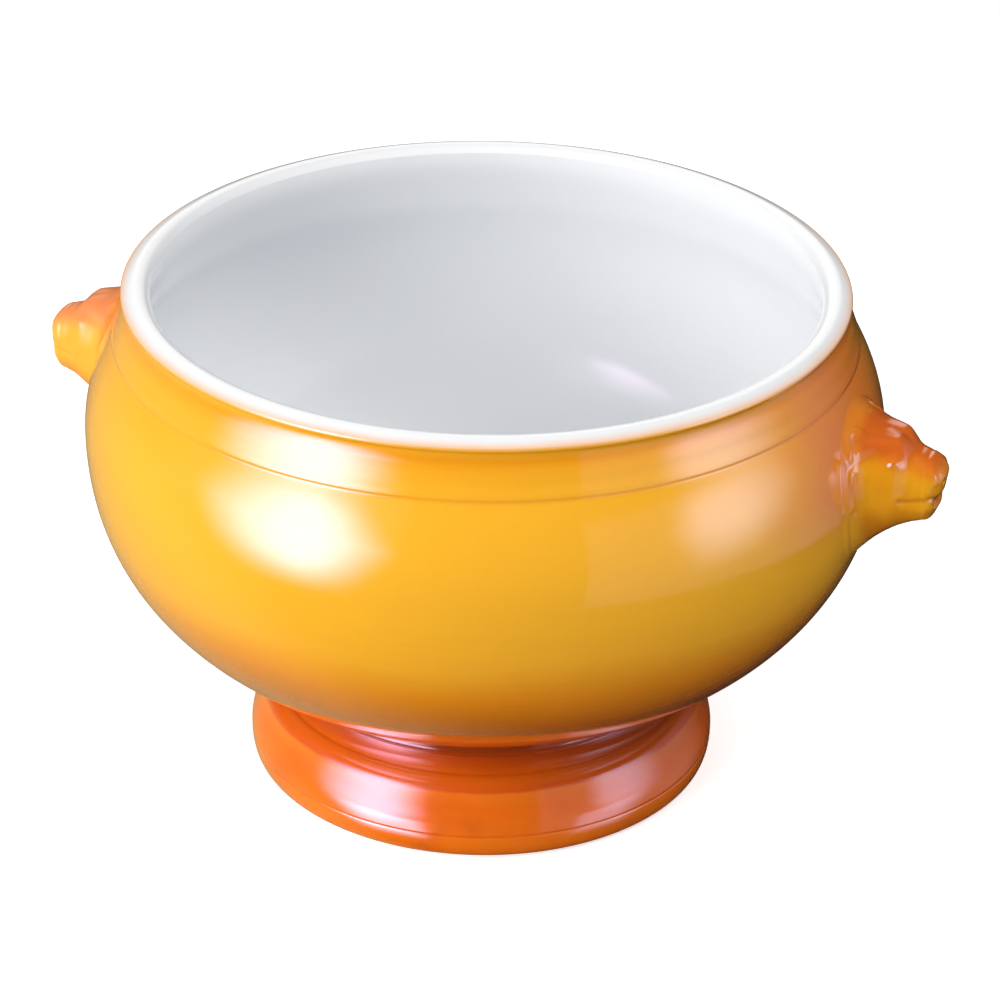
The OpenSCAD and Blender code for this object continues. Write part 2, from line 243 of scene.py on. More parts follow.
class Graph:
    """A node tree written as code."""

    def __init__(self, tree: bpy.types.NodeTree) -> None:
        """Empties a tree and keeps it."""
        self.tree = tree
        tree.nodes.clear()

    def node(self, kind: str, settings: Optional[dict] = None, inputs: Optional[dict] = None,
             out: Union[int, str] = 0) -> Socket:
        """Makes any node.

        Args:
            kind: the node's type.
            settings: its properties, set first; "stops" holds a ramp's positions and colours.
            inputs: values or sockets for its inputs, by name or number.
            out: the output to return.

        Returns:
            That output as a socket.
        """
        made = self.tree.nodes.new(kind)
        for name, value in (settings or {}).items():
            if name == "stops":
                ramp = made.color_ramp
                while len(ramp.elements) < len(value):
                    ramp.elements.new(1.0)
                for element, (position, colour) in zip(ramp.elements, value):
                    element.position, element.color = position, colour
            else:
                setattr(made, name, value)
        for name, value in (inputs or {}).items():
            self.join(made.inputs[name], value)
        outputs = made.outputs
        return Socket(self, outputs[out]) if len(outputs) else Socket(self, made.inputs[0])

    def join(self, socket: bpy.types.NodeSocket, value: Value) -> None:
        """Links a socket to an input, or sets the input's value.

        Args:
            socket: the input.
            value: a socket, or a plain value.
        """
        if isinstance(value, Socket):
            self.tree.links.new(value.out, socket)
        else:
            socket.default_value = value

    def maths(self, operation: str, *values: Value, clamp: bool = False) -> Socket:
        """A Math node on one to three values."""
        return self.node("ShaderNodeMath", {"operation": operation, "use_clamp": clamp},
                         dict(enumerate(values)))

    def vector(self, operation: str, *values: Value) -> Socket:
        """A Vector Math node on one or two vectors."""
        return self.node("ShaderNodeVectorMath", {"operation": operation}, dict(enumerate(values)))

    def scaled(self, colour: tuple, share: Socket) -> Socket:
        """A colour times a number."""
        return self.node("ShaderNodeVectorMath", {"operation": "SCALE"}, {0: colour, "Scale": share})

    def combined(self, x: Value, y: Value, z: Value) -> Socket:
        """A vector from three numbers."""
        return self.node("ShaderNodeCombineXYZ", None, {0: x, 1: y, 2: z})

    def mix(self, share: Value, first: Value, second: Value) -> Socket:
        """A colour between two colours.

        Args:
            share: 0 for the first colour, 1 for the second.
            first: a colour.
            second: another colour.

        Returns:
            The mixed colour.
        """
        return self.node("ShaderNodeMix", {"data_type": "RGBA"}, {0: share, 6: first, 7: second}, 2)

    def noise(self, place: Socket, scale: float, detail: float = 3.0, roughness: float = 0.5) -> Socket:
        """Noise from 0 to 1 at a place.

        Args:
            place: coordinates, in millimetres.
            scale: cells per millimetre.
            detail: octaves.
            roughness: share that each finer octave keeps.

        Returns:
            The noise as a number.
        """
        return self.node("ShaderNodeTexNoise", {"noise_dimensions": "3D"},
                         {"Vector": place, "Scale": scale, "Detail": detail, "Roughness": roughness},
                         "Fac")

    def wander(self, place: Socket, scale: float, reach: float, detail: float = 3.0) -> Socket:
        """Noise that shifts a value, by half its reach at most."""
        return (self.noise(place, scale, detail) - 0.5) * reach


def dressed(owner: bpy.types.ID, surface: Callable[[Graph], Socket]) -> bpy.types.ID:
    """Gives a material or a world its nodes.

    Args:
        owner: the new material or world.
        surface: makes the shader in a tree.

    Returns:
        The owner.
    """
    owner.use_nodes = True
    graph = Graph(owner.node_tree)
    ending = "ShaderNodeOutputWorld" if isinstance(owner, bpy.types.World) else "ShaderNodeOutputMaterial"
    graph.node(ending, None, {"Surface": surface(graph)})
    return owner


def stood(name: str, data: bpy.types.ID) -> bpy.types.Object:
    """An object with its data, stood in the scene."""
    made = bpy.data.objects.new(name, data)
    bpy.context.scene.collection.objects.link(made)
    return made


def paint(red: float, green: float, blue: float) -> tuple:
    """A colour as seen, as the linear colour that a socket takes.

    Args:
        red: its red part, from 0 to 255.
        green: its green part.
        blue: its blue part.

    Returns:
        Its parts from 0 to 1, and 1 for whole.
    """
    def linear(part: float) -> float:
        """One part, made linear by the curve of sRGB."""
        share = part / 255
        return share / 12.92 if share <= 0.04045 else ((share + 0.055) / 1.055) ** 2.4
    return (linear(red), linear(green), linear(blue), 1.0)


# Finishes


@dataclass(frozen=True)
class LipShape:
    """Where the two glazes meet on the sloped top of the rolled lip."""

    slope_r: float = 60.5
    amber_z: float = 90.2
    white_z: float = 91.45
    lining_z: float = 90.5
    # cells to a millimetre, reach in millimetres and octaves of how the edge wanders
    waver: tuple = (0.06, 0.35, 2)

    def white_share(self, graph: Graph, place: Socket, z: Socket) -> Socket:
        """How far the white glaze has run over the amber one, by the height on the lip's outer slope.

        Args:
            graph: the material's tree.
            place: object coordinates in millimetres.
            z: height.

        Returns:
            0 for amber, 1 for white.
        """
        return (z + graph.wander(place, *self.waver)).within(self.amber_z, self.white_z)

    def inside_share(self, graph: Graph, r: Socket, z: Socket) -> Socket:
        """1 on the part of the lining that lies inside the lip's outer slope, else 0."""
        return graph.maths("MAXIMUM", z < self.lining_z, r < self.slope_r)


@dataclass(frozen=True)
class Finish:
    """A fired finish. A child class says what its shader's sockets take."""

    name: str = "finish"
    # roughness: the least, how much more there is in patches, and how many come to a millimetre
    gloss: tuple = (0.10, 0.08, 0.25)
    # relief: broad waves to a millimetre, fine ones and their share, and depth in millimetres
    waves: float = 0.05
    grain: tuple = (0.9, 0.03)
    depth: float = 0.15

    def sockets(self, graph: Graph) -> dict:
        """Values and links for the shader.

        Args:
            graph: the material's tree.

        Returns:
            What each of the shader's sockets takes, by name.
        """
        raise NotImplementedError

    def shader(self, graph: Graph) -> Socket:
        """The finish's shader."""
        return graph.node("ShaderNodeBsdfPrincipled", None, self.sockets(graph))

    def material(self) -> bpy.types.Material:
        """The finish as a material, made once."""
        return bpy.data.materials.get(self.name) or dressed(bpy.data.materials.new(self.name), self.shader)

    @staticmethod
    def place(graph: Graph) -> tuple:
        """Object coordinates in millimetres.

        Args:
            graph: the material's tree.

        Returns:
            The vector, its three parts and its distance from the axis.
        """
        coordinates = graph.node("ShaderNodeTexCoord", None, None, "Object")
        place = graph.vector("MULTIPLY", coordinates, (1 / MM, 1 / MM, 1 / MM))
        x = graph.node("ShaderNodeSeparateXYZ", None, {0: place}, "X")
        y, z = x.other("Y"), x.other("Z")
        return place, x, y, z, (x * x + y * y) ** 0.5

    @staticmethod
    def banded(graph: Graph, bands: tuple, z: Socket) -> Socket:
        """Colour of the bands at a height.

        Args:
            graph: the material's tree.
            bands: heights in millimetres, each with the colour there.
            z: the height, shifted where the bands waver.

        Returns:
            The colour.
        """
        low, high = bands[0][0], bands[-1][0]
        stops = [((height - low) / (high - low), paint(*colour)) for height, colour in bands]
        return graph.node("ShaderNodeValToRGB", {"stops": stops}, {0: (z - low) / (high - low)}, "Color")

    def roughness(self, graph: Graph, place: Socket) -> Socket:
        """Roughness that varies in patches."""
        least, more, patches = self.gloss
        return least + graph.noise(place, patches, 3) * more

    def relief(self, graph: Graph, place: Socket) -> Socket:
        """Broad waves of the surface with a fine grain."""
        fine, share = self.grain
        return graph.noise(place, self.waves, 2) + graph.noise(place, fine, 2) * share

    def bump(self, graph: Graph, height: Socket) -> Socket:
        """Normal of the surface with a relief from 0 to 1, as deep as the finish says."""
        return graph.node("ShaderNodeBump", None, {"Distance": self.depth * MM, "Height": height})


@dataclass(frozen=True)
class AmberGlaze(Finish):
    """Honey yellow glaze that goes through amber to brown towards the waist, darkest in painted shade over
    the bead, and to white on the lip.
    """

    name: str = "fired_amber_glaze"
    lip: LipShape = field(default_factory=LipShape)
    # height in millimetres and the colour there; the deeper amber just under the lip, and the dark brown of
    # the bead and the crease above it, are painted shade
    bands: tuple = ((17.8, (164, 62, 8)), (20.3, (158, 60, 8)), (21.8, (124, 46, 2)), (24.8, (142, 54, 2)),
                    (30.8, (172, 76, 4)), (37.8, (208, 108, 6)), (45.8, (238, 146, 20)),
                    (53.8, (252, 180, 44)), (60.8, (252, 184, 44)), (74.8, (252, 184, 46)),
                    (81.5, (252, 182, 44)), (82.1, (250, 170, 42)), (82.7, (252, 182, 44)),
                    (86.0, (251, 176, 38)), (88.2, (246, 160, 24)), (89.6, (249, 176, 40)))
    white: tuple = (239, 241, 244)
    # cells to a millimetre and reach of the bands' drift, and the heights between which it comes in
    drift: tuple = (0.03, 5.0)
    drift_z: tuple = (70.0, 50.0)
    # the same of streaks that run round the bowl
    streak_cells: tuple = (0.02, 0.02, 1.1)
    streak_detail: tuple = (4, 0.6)
    streak_reach: float = 2.2
    streak_z: tuple = (72.0, 56.0)
    brown: tuple = (120, 46, 2)
    brown_share: float = 0.5
    brown_z: tuple = (66.0, 40.0)
    # red tint on the wall round each head, partly the glaze's own colour and partly painted shade
    blush_and_shade: tuple = (222, 108, 48)
    blush_and_shade_share: float = 0.75
    blush_and_shade_middle_z: float = 69.0
    blush_and_shade_z: tuple = (58.0, 72.0)
    blush_and_shade_reach: tuple = (40.0, 12.0)
    blush_and_shade_waver: tuple = (0.1, 6.0)
    # rings that the thrower's fingers left on the neck
    ring_z: float = 85.2
    ring_step: float = 3.5
    ring_depth: float = 0.26
    ring_waver: tuple = (0.03, 2.0, 2)
    ring_low_z: tuple = (82.4, 83.4)
    ring_high_z: tuple = (89.0, 87.0)
    depth: float = 0.18

    def ground(self, graph: Graph) -> Socket:
        """Colour of the amber glaze with its painted shade, without the white of the lip.

        Args:
            graph: the material's tree.

        Returns:
            The colour.
        """
        place, _, y, z, _ = self.place(graph)
        drift = graph.wander(place, *self.drift)
        streaks = graph.noise(graph.vector("MULTIPLY", place, self.streak_cells), 1.0, *self.streak_detail)
        run = (streaks - 0.5) * self.streak_reach * z.within(*self.streak_z)
        amber = self.banded(graph, self.bands, z + drift * z.within(*self.drift_z) + run)
        deep = graph.mix((streaks - 0.5) * self.brown_share * z.within(*self.brown_z), amber,
                         paint(*self.brown))
        # red tint and painted shade on the wall round each head
        above = z - self.blush_and_shade_middle_z
        beside = (y * y + above * above) ** 0.5 + graph.wander(place, *self.blush_and_shade_waver)
        share = beside.within(*self.blush_and_shade_reach) * (z + drift).within(*self.blush_and_shade_z) * self.blush_and_shade_share
        return graph.mix(share, deep, paint(*self.blush_and_shade))

    def sockets(self, graph: Graph) -> dict:
        """Values and links for the shader.

        Args:
            graph: the material's tree.

        Returns:
            What each of its sockets takes, by name.
        """
        place, _, _, z, _ = self.place(graph)
        colour = graph.mix(self.lip.white_share(graph, place, z), self.ground(graph), paint(*self.white))
        turn = (z - self.ring_z) * (2 * math.pi / self.ring_step)
        rings = graph.maths("SINE", turn + graph.wander(place, *self.ring_waver))
        ringed = rings * z.within(*self.ring_low_z) * z.within(*self.ring_high_z) * self.ring_depth
        return {"Base Color": colour, "Roughness": self.roughness(graph, place),
                "IOR": 1.5, "Coat Weight": 1.0, "Coat Roughness": 0.05, "Coat IOR": 1.55,
                "Normal": self.bump(graph, self.relief(graph, place) + ringed)}


@dataclass(frozen=True)
class WhiteGlaze(Finish):
    """Cool white glaze of the inside, with a warm edge where it runs over the lip."""

    name: str = "fired_white_glaze"
    lip: LipShape = field(default_factory=LipShape)
    white: tuple = (239, 241, 244)
    cloudy: tuple = (234, 238, 243)
    cloud_scale: float = 0.04
    cloud_share: float = 0.5
    amber: tuple = (246, 160, 34)
    gloss: tuple = (0.10, 0.07, 0.25)
    grain: tuple = (0.8, 0.03)

    def sockets(self, graph: Graph) -> dict:
        """Values and links for the shader.

        Args:
            graph: the material's tree.

        Returns:
            What each of its sockets takes, by name.
        """
        place, _, _, z, r = self.place(graph)
        inside = self.lip.inside_share(graph, r, z)
        run = graph.maths("MAXIMUM", self.lip.white_share(graph, place, z), inside)
        cloud = graph.noise(place, self.cloud_scale, 3) * self.cloud_share
        clean = graph.mix(cloud, paint(*self.white), paint(*self.cloudy))
        return {"Base Color": graph.mix(run, paint(*self.amber), clean),
                "Roughness": self.roughness(graph, place), "IOR": 1.5,
                "Normal": self.bump(graph, self.relief(graph, place))}


@dataclass(frozen=True)
class FootGlaze(Finish):
    """Red orange glaze of the foot, pale on its top edge and deep in its line, with painted bounce light on
    its low band and painted shade in its cove under the belly.
    """

    name: str = "fired_foot_glaze"
    # height in millimetres and the colour there; the brighter low band is painted bounce light from the
    # floor, and the dark cove under the belly is painted shade
    bands: tuple = ((0.0, (236, 120, 40)), (1.2, (254, 128, 16)), (4.5, (255, 128, 16)),
                    (4.8, (244, 112, 12)), (5.2, (250, 120, 14)), (9.8, (248, 116, 14)),
                    (12.0, (250, 126, 28)), (12.5, (226, 90, 14)), (14.2, (232, 106, 18)),
                    (15.4, (206, 82, 8)), (17.8, (172, 62, 4)))
    drift: tuple = (0.12, 0.8)
    clouded: tuple = (206, 78, 20)
    cloud_scale: float = 0.09
    cloud_range: tuple = (0.45, 0.75)
    cloud_share: float = 0.35
    # rings that the turning tool left: cells to a millimetre and their share of the relief
    ring_cells: tuple = (0.004, 0.004, 1.3)
    ring_share: float = 0.22
    gloss: tuple = (0.14, 0.1, 0.3)
    waves: float = 0.07
    grain: tuple = (0.9, 0.04)
    depth: float = 0.16

    def sockets(self, graph: Graph) -> dict:
        """Values and links for the shader.

        Args:
            graph: the material's tree.

        Returns:
            What each of its sockets takes, by name.
        """
        place, _, _, z, _ = self.place(graph)
        banded = self.banded(graph, self.bands, z + graph.wander(place, *self.drift))
        cloud = graph.noise(place, self.cloud_scale, 4).within(*self.cloud_range) * self.cloud_share
        rings = graph.noise(graph.vector("MULTIPLY", place, self.ring_cells), 1.0, 2) * self.ring_share
        return {"Base Color": graph.mix(cloud, banded, paint(*self.clouded)),
                "Roughness": self.roughness(graph, place),
                "IOR": 1.5, "Coat Weight": 1.0, "Coat Roughness": 0.08, "Coat IOR": 1.55,
                "Normal": self.bump(graph, self.relief(graph, place) + rings)}


@dataclass(frozen=True)
class HeadGlaze(Finish):
    """Glaze of the lion heads: amber on the cheeks, red orange over the brow and nose, deeper in hollows, and
    painted shade under the chin.
    """

    name: str = "fired_head_glaze"
    wall: AmberGlaze = field(default_factory=AmberGlaze)
    amber: tuple = (236, 150, 14)
    pale: tuple = (250, 180, 30)
    red: tuple = (214, 88, 34)
    deep: tuple = (176, 70, 6)
    cloud_scale: float = 0.22
    # where the red lies by height, how much lower it comes farther out, and where it starts
    red_z: tuple = (71.5, 75.6)
    red_fall: float = 0.26
    brow_x: float = 70.0
    red_x: tuple = (64.5, 69.5)
    red_share: float = 0.85
    red_waver: float = 3.0
    # painted shade under the chin: heights over which it comes in, and how much they wander
    chin_shade_z: tuple = (66.0, 60.0)
    chin_shade_waver: float = 2.0
    # carving, in millimetres, over which the glaze pools in hollows, and how much deeper the colour is there
    # and in the painted shade under the chin
    pool_depth: tuple = (0.02, -0.4)
    deep_share: float = 0.5
    # stand off the wall over which the wall's colour gives way to the head's
    seam: tuple = (0.0, 2.6)
    coat: float = 1.0
    gloss: tuple = (0.10, 0.08, 0.4)
    waves: float = 0.2
    grain: tuple = (1.1, 0.05)
    depth: float = 0.12

    def sockets(self, graph: Graph) -> dict:
        """Values and links for the shader.

        Args:
            graph: the material's tree.

        Returns:
            What each of its sockets takes, by name.
        """
        place, x, _, z, _ = self.place(graph)
        out = abs(x)
        cloud = graph.noise(place, self.cloud_scale, 3)
        hollow, stand = (graph.node("ShaderNodeAttribute", {"attribute_name": name}, None, "Fac")
                         for name in HEAD_VALUES)
        level = z + (cloud - 0.5) * self.red_waver + (out - self.brow_x) * self.red_fall
        top = level.within(*self.red_z) * out.within(*self.red_x)
        # painted shade under the chin
        chin = (z + (cloud - 0.5) * self.chin_shade_waver).within(*self.chin_shade_z)
        colour = graph.mix(cloud, paint(*self.amber), paint(*self.pale))
        colour = graph.mix(top * self.red_share, colour, paint(*self.red))
        # glaze pooled in the hollows, and the painted shade under the chin, deepen the colour
        for deepened in (chin, hollow.within(*self.pool_depth)):
            colour = graph.mix(deepened * self.deep_share, colour, paint(*self.deep))
        colour = graph.mix(stand.within(*self.seam), self.wall.ground(graph), colour)
        return {"Base Color": colour, "Roughness": self.roughness(graph, place),
                "IOR": 1.5, "Coat Weight": self.coat, "Coat Roughness": 0.05, "Coat IOR": 1.55,
                "Normal": self.bump(graph, self.relief(graph, place))}


@dataclass(frozen=True)
class BareClay(Finish):
    """Bare fired clay of the standing ring, with fine grit and dark specks."""

    name: str = "fired_bare_clay"
    clay: tuple = (214, 200, 178)
    worn: tuple = (178, 158, 132)
    speck: tuple = (112, 92, 70)
    # cells to a millimetre, range of the noise that shows, and how strongly
    stains: tuple = (0.15, (0.4, 0.7), 0.6)
    specks: tuple = (1.7, (0.66, 0.72), 0.7)
    grit_detail: tuple = (5, 0.7)
    gloss: tuple = (0.72, 0.2, 3.0)
    depth: float = 0.12

    def sockets(self, graph: Graph) -> dict:
        """Values and links for the shader.

        Args:
            graph: the material's tree.

        Returns:
            What each of its sockets takes, by name.
        """
        place = self.place(graph)[0]
        least, more, cells = self.gloss
        grit = graph.noise(place, cells, *self.grit_detail)
        cells, shown, share = self.stains
        stain = graph.noise(place, cells, 4).within(*shown) * share
        cells, shown, share = self.specks
        speck = graph.noise(place, cells, 2).within(*shown) * share
        colour = graph.mix(stain, paint(*self.clay), paint(*self.worn))
        return {"Base Color": graph.mix(speck, colour, paint(*self.speck)),
                "Roughness": least + grit * more, "IOR": 1.45, "Normal": self.bump(graph, grit)}


# Turning a profile


class TurnedPiece:
    """Turns a profile about the axis with one geometry nodes tree, as on a wheel."""

    tree_name = "turned_on_the_wheel"
    # keeps a whole number of turns whole after its division
    column_slack = 0.5 / 4096
    # distance in metres under which points are one
    weld = 1e-6

    def __init__(self, segments: int = 224, crease: float = 40.0) -> None:
        """Keeps the faces round a piece, and the angle past which an edge stays crisp."""
        self.segments = segments
        self.crease = crease

    def tree(self) -> bpy.types.NodeTree:
        """Makes the tree once, with named inputs for the profile, segments, crease and glaze.

        Returns:
            The tree.
        """
        found = bpy.data.node_groups.get(self.tree_name)
        if found:
            return found
        tree = bpy.data.node_groups.new(self.tree_name, "GeometryNodeTree")
        for name, kind in (("Profile", "NodeSocketGeometry"), ("Segments", "NodeSocketInt"),
                           ("Crease Angle", "NodeSocketFloat"), ("Glaze", "NodeSocketMaterial")):
            tree.interface.new_socket(name, in_out="INPUT", socket_type=kind)
        tree.interface.new_socket("Piece", in_out="OUTPUT", socket_type="NodeSocketGeometry")
        graph = Graph(tree)
        given = graph.node("NodeGroupInput", None, None, "Profile")
        count = graph.node("GeometryNodeAttributeDomainSize", {"component": "MESH"}, {0: given},
                           "Point Count")
        segments = given.other("Segments")
        sheet = graph.node("GeometryNodeMeshGrid", None,
                           {"Size X": 1.0, "Size Y": 1.0, "Vertices X": segments + 1, "Vertices Y": count},
                           "Mesh")
        index = graph.node("GeometryNodeInputIndex")
        turn = (index / count + self.column_slack).floor()
        step = index - turn * count
        place = graph.node("GeometryNodeInputPosition")
        sampled = graph.node("GeometryNodeSampleIndex", {"data_type": "FLOAT_VECTOR", "domain": "POINT"},
                             {"Geometry": given, "Value": place, "Index": step}, 0)
        parts = graph.node("ShaderNodeSeparateXYZ", None, {0: sampled}, "X")
        angle = turn * (2 * math.pi) / segments
        where = graph.combined(parts * graph.maths("COSINE", angle), parts * graph.maths("SINE", angle),
                               parts.other("Z"))
        moved = graph.node("GeometryNodeSetPosition", None, {"Geometry": sheet, "Position": where})
        welded = graph.node("GeometryNodeMergeByDistance", None, {"Geometry": moved, "Distance": self.weld})
        smooth = graph.node("GeometryNodeSetShadeSmooth", {"domain": "FACE"},
                            {"Geometry": welded, "Shade Smooth": True})
        bend = graph.node("GeometryNodeInputMeshEdgeAngle", None, None, "Unsigned Angle")
        sharp = bend > given.other("Crease Angle")
        creased = graph.node("GeometryNodeSetShadeSmooth", {"domain": "EDGE"},
                             {"Geometry": smooth, "Selection": sharp, "Shade Smooth": False})
        whole = graph.node("GeometryNodeRealizeInstances", None, {"Geometry": creased})
        glazed = graph.node("GeometryNodeSetMaterial", None,
                            {"Geometry": whole, "Material": given.other("Glaze")})
        graph.node("NodeGroupOutput", None, {0: glazed})
        return tree

    def turn(self, name: str, profile: np.ndarray, finish: Finish) -> bpy.types.Object:
        """Turns one piece and dresses it.

        Args:
            name: the piece's name.
            profile: radius and height of its points in millimetres, clay on the left of the line.
            finish: what the piece wears.

        Returns:
            A plain mesh object at the origin.
        """
        line = bpy.data.meshes.new(name + "_profile")
        places = [(r * MM, 0.0, z * MM) for r, z in profile]
        line.from_pydata(places, [(i, i + 1) for i in range(len(places) - 1)], [])
        draft = stood(name + "_draft", line)
        tree = self.tree()
        modifier = draft.modifiers.new("turned", "NODES")
        modifier.node_group = tree
        values = {"Segments": self.segments, "Crease Angle": math.radians(self.crease),
                  "Glaze": finish.material()}
        for item in tree.interface.items_tree:
            if item.item_type == "SOCKET" and item.name in values:
                modifier[item.identifier] = values[item.name]
        bpy.context.view_layer.update()
        shaped = draft.evaluated_get(bpy.context.evaluated_depsgraph_get())
        mesh = bpy.data.meshes.new_from_object(shaped, depsgraph=bpy.context.evaluated_depsgraph_get())
        mesh.name = name
        bpy.data.objects.remove(draft)
        bpy.data.meshes.remove(line)
        return stood(name, mesh)


def hand_over(piece: bpy.types.Object, node: str) -> None:
    """Puts a finished piece in the place of its node, and reports it.

    Args:
        piece: a plain mesh object.
        node: name of the node that it stands for.
    """
    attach(piece, "root")
    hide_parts(node)
    mesh = piece.data
    mesh.calc_loop_triangles()
    log.info("%s: %d points, %d triangles", piece.name, len(mesh.vertices), len(mesh.loop_triangles))


# Bowl


# degrees of turn and millimetres between the points of a line that shows, and of one that is covered
SEEN_STEPS = (3.4, 1.6)
COVERED_STEPS = (9.0, 5.0)


@dataclass
class Bowl:
    """The amber wall and its white lining."""

    rim_r: float = 62.5
    height: float = 91.599
    belly_out: float = 6.8
    belly_z_share: float = 0.71
    wall: float = 5.0
    floor_thickness: float = 5.8
    floor_flat_r: float = 19.0
    lip_r: float = 2.75
    lip_inside_angle: float = 197.0
    lip_edge_r: float = 0.55
    lip_edge_drop: float = 1.25
    lip_under_angle: float = -60.0
    lip_overhang: float = 0.6
    neck_top_drop: float = 2.1
    shoulder_drop: float = 9.5
    shoulder_out: float = 1.7
    shoulder_angle: float = 120.6
    line_width: float = 0.6
    line_depth: float = 0.045
    glaze_thickness: float = 0.4
    glaze_edge_angle: float = 42.0
    waist_r: float = 34.1
    waist_z: float = 16.9
    bead_r: float = 1.7
    bead_top_angle: float = 65.0
    belly_start_angle: float = 22.8
    # how far the handles of the curves reach, as shares of the way
    lower_pull_shares: tuple = (0.68, 0.49)
    upper_pull_shares: tuple = (0.37, 0.33)
    neck_pull_shares: tuple = (0.6, 0.2)
    neck_angles: tuple = (110.0, 88.0)
    inner_neck_pull_share: float = 0.3
    floor_pull_share: float = 0.55
    # how far the glaze rounds a corner, and how far the inside flows below the lip
    corner_reach: float = 0.13
    inner_reach: float = 2.0
    seat_share: float = 0.6
    # steps round the edge of the lip, and share of the lip's roll that keeps its own round
    edge_steps: int = 8
    rolled_share: float = 0.625
    # height above the bead from which the heads may sit
    bead_margin: float = 0.5
    wheel: TurnedPiece = field(default_factory=TurnedPiece)

    def __post_init__(self) -> None:
        """Works out the points that the curves share."""
        self.belly_r = self.rim_r + self.belly_out
        self.belly_z = self.belly_z_share * self.height
        self.lip_middle = point(self.rim_r - self.lip_r, self.height - self.lip_r)
        self.edge_middle = point(self.rim_r - self.lip_edge_r, self.height - self.lip_edge_drop)
        self.lip_top_angle = 2 * math.degrees(math.atan2(self.lip_r - self.lip_edge_drop,
                                                         self.lip_r - self.lip_edge_r))
        self.bead_middle = point(self.waist_r, self.waist_z + self.bead_r)
        self.shoulder_r = self.rim_r + self.shoulder_out
        self.shoulder_z = self.height - self.shoulder_drop
        start = self.bead_middle + self.bead_r * heading(self.bead_top_angle)
        widest = point(self.belly_r, self.belly_z)
        leave, arrive = self.lower_pull_shares
        self.lower = Pull(start, start + leave * (self.belly_r - start[0]) * heading(self.belly_start_angle),
                          widest - point(0, arrive * (self.belly_z - start[1])), widest)
        low = point(self.shoulder_r, self.shoulder_z - self.line_width / 2)
        span = low[1] - self.belly_z
        leave, arrive = self.upper_pull_shares
        self.upper = Pull(widest, widest + point(0, leave * span),
                          low - arrive * span * heading(self.shoulder_angle), low)
        neck_low = point(self.shoulder_r - self.line_depth, self.shoulder_z + self.line_width / 2)
        neck_high = point(self.rim_r - self.lip_overhang, self.height - self.neck_top_drop)
        leave, arrive = np.array(self.neck_pull_shares) * (neck_high[1] - neck_low[1])
        self.neck = Pull(neck_low, neck_low + leave * heading(self.neck_angles[0]),
                         neck_high - arrive * heading(self.neck_angles[1]), neck_high)

    def outside(self) -> np.ndarray:
        """Dense line of the outside, from the waist to the edge of the white glaze.

        Returns:
            Array of points.
        """
        line = np.vstack([
            arc(self.bead_middle, self.bead_r, -90, self.bead_top_angle),
            self.lower.points()[1:], self.upper.points()[1:],
            [point(self.shoulder_r - 2 * self.line_depth, self.shoulder_z)],
            self.neck.points(),
            arc(self.edge_middle, self.lip_edge_r, self.lip_under_angle, self.glaze_edge_angle)])
        return softened(line, self.corner_reach)

    def inside(self, skin: float) -> np.ndarray:
        """Dense line of the inside, from the edge of the white glaze to the axis.

        Args:
            skin: thickness of glaze that is taken off.

        Returns:
            Array of points.
        """
        upper = self.upper.inner(self.wall - skin)
        lower = self.lower.inner(self.wall - skin)
        edge = arc(self.edge_middle, self.lip_edge_r - skin, self.glaze_edge_angle, self.lip_top_angle,
                   self.edge_steps)
        lip = arc(self.lip_middle, self.lip_r - skin, self.lip_top_angle, self.lip_inside_angle)
        pull = self.inner_neck_pull_share * (lip[-1][1] - upper[-1][1])
        neck = Pull(lip[-1], lip[-1] + pull * heading(self.lip_inside_angle + 90),
                    upper[-1] - pull * heading(self.shoulder_angle), upper[-1]).points()
        top = self.waist_z + self.floor_thickness - skin
        pull = self.floor_pull_share * (lower[0][0] - self.floor_flat_r)
        floor = Pull(lower[0], lower[0] - pull * heading(self.belly_start_angle),
                     point(self.floor_flat_r + pull, top), point(self.floor_flat_r, top)).points()
        over = int(len(lip) * self.rolled_share)
        rolled = softened(np.vstack([edge, lip[:over]]), self.corner_reach)
        below = softened(np.vstack([lip[over - 1:], neck[1:], upper[::-1][1:], lower[::-1][1:], floor[1:],
                                    [point(0, top)]]), self.inner_reach)
        return np.vstack([rolled, below[1:]])

    def build_wall(self) -> None:
        """The wall of the bowl under its amber glaze."""
        seat = np.array([point(0, self.waist_z), point(self.waist_r * self.seat_share, self.waist_z)])
        profile = np.vstack([seat, thinned(self.outside(), *SEEN_STEPS),
                             thinned(self.inside(self.glaze_thickness), *COVERED_STEPS)])
        hand_over(self.wheel.turn("bowl_wall", profile, AmberGlaze()), "bowl_body")

    def build_lining(self) -> None:
        """The white glaze of the inside, up to its edge on the lip."""
        back = thinned(self.inside(self.glaze_thickness), *COVERED_STEPS)
        profile = np.vstack([back[::-1], thinned(self.inside(0), *SEEN_STEPS)])
        hand_over(self.wheel.turn("white_lining", profile, WhiteGlaze()), "liner_glaze")

    def radius_at(self, heights: np.ndarray) -> np.ndarray:
        """Radius of the outside above the bead.

        Args:
            heights: where it is asked for.

        Returns:
            The radius at each height.
        """
        line = self.outside()
        line = line[line[:, 1] > self.bead_middle[1] + self.bead_r + self.bead_margin]
        order = np.argsort(line[:, 1], kind="stable")
        return np.interp(heights, line[order, 1], line[order, 0])


# Foot


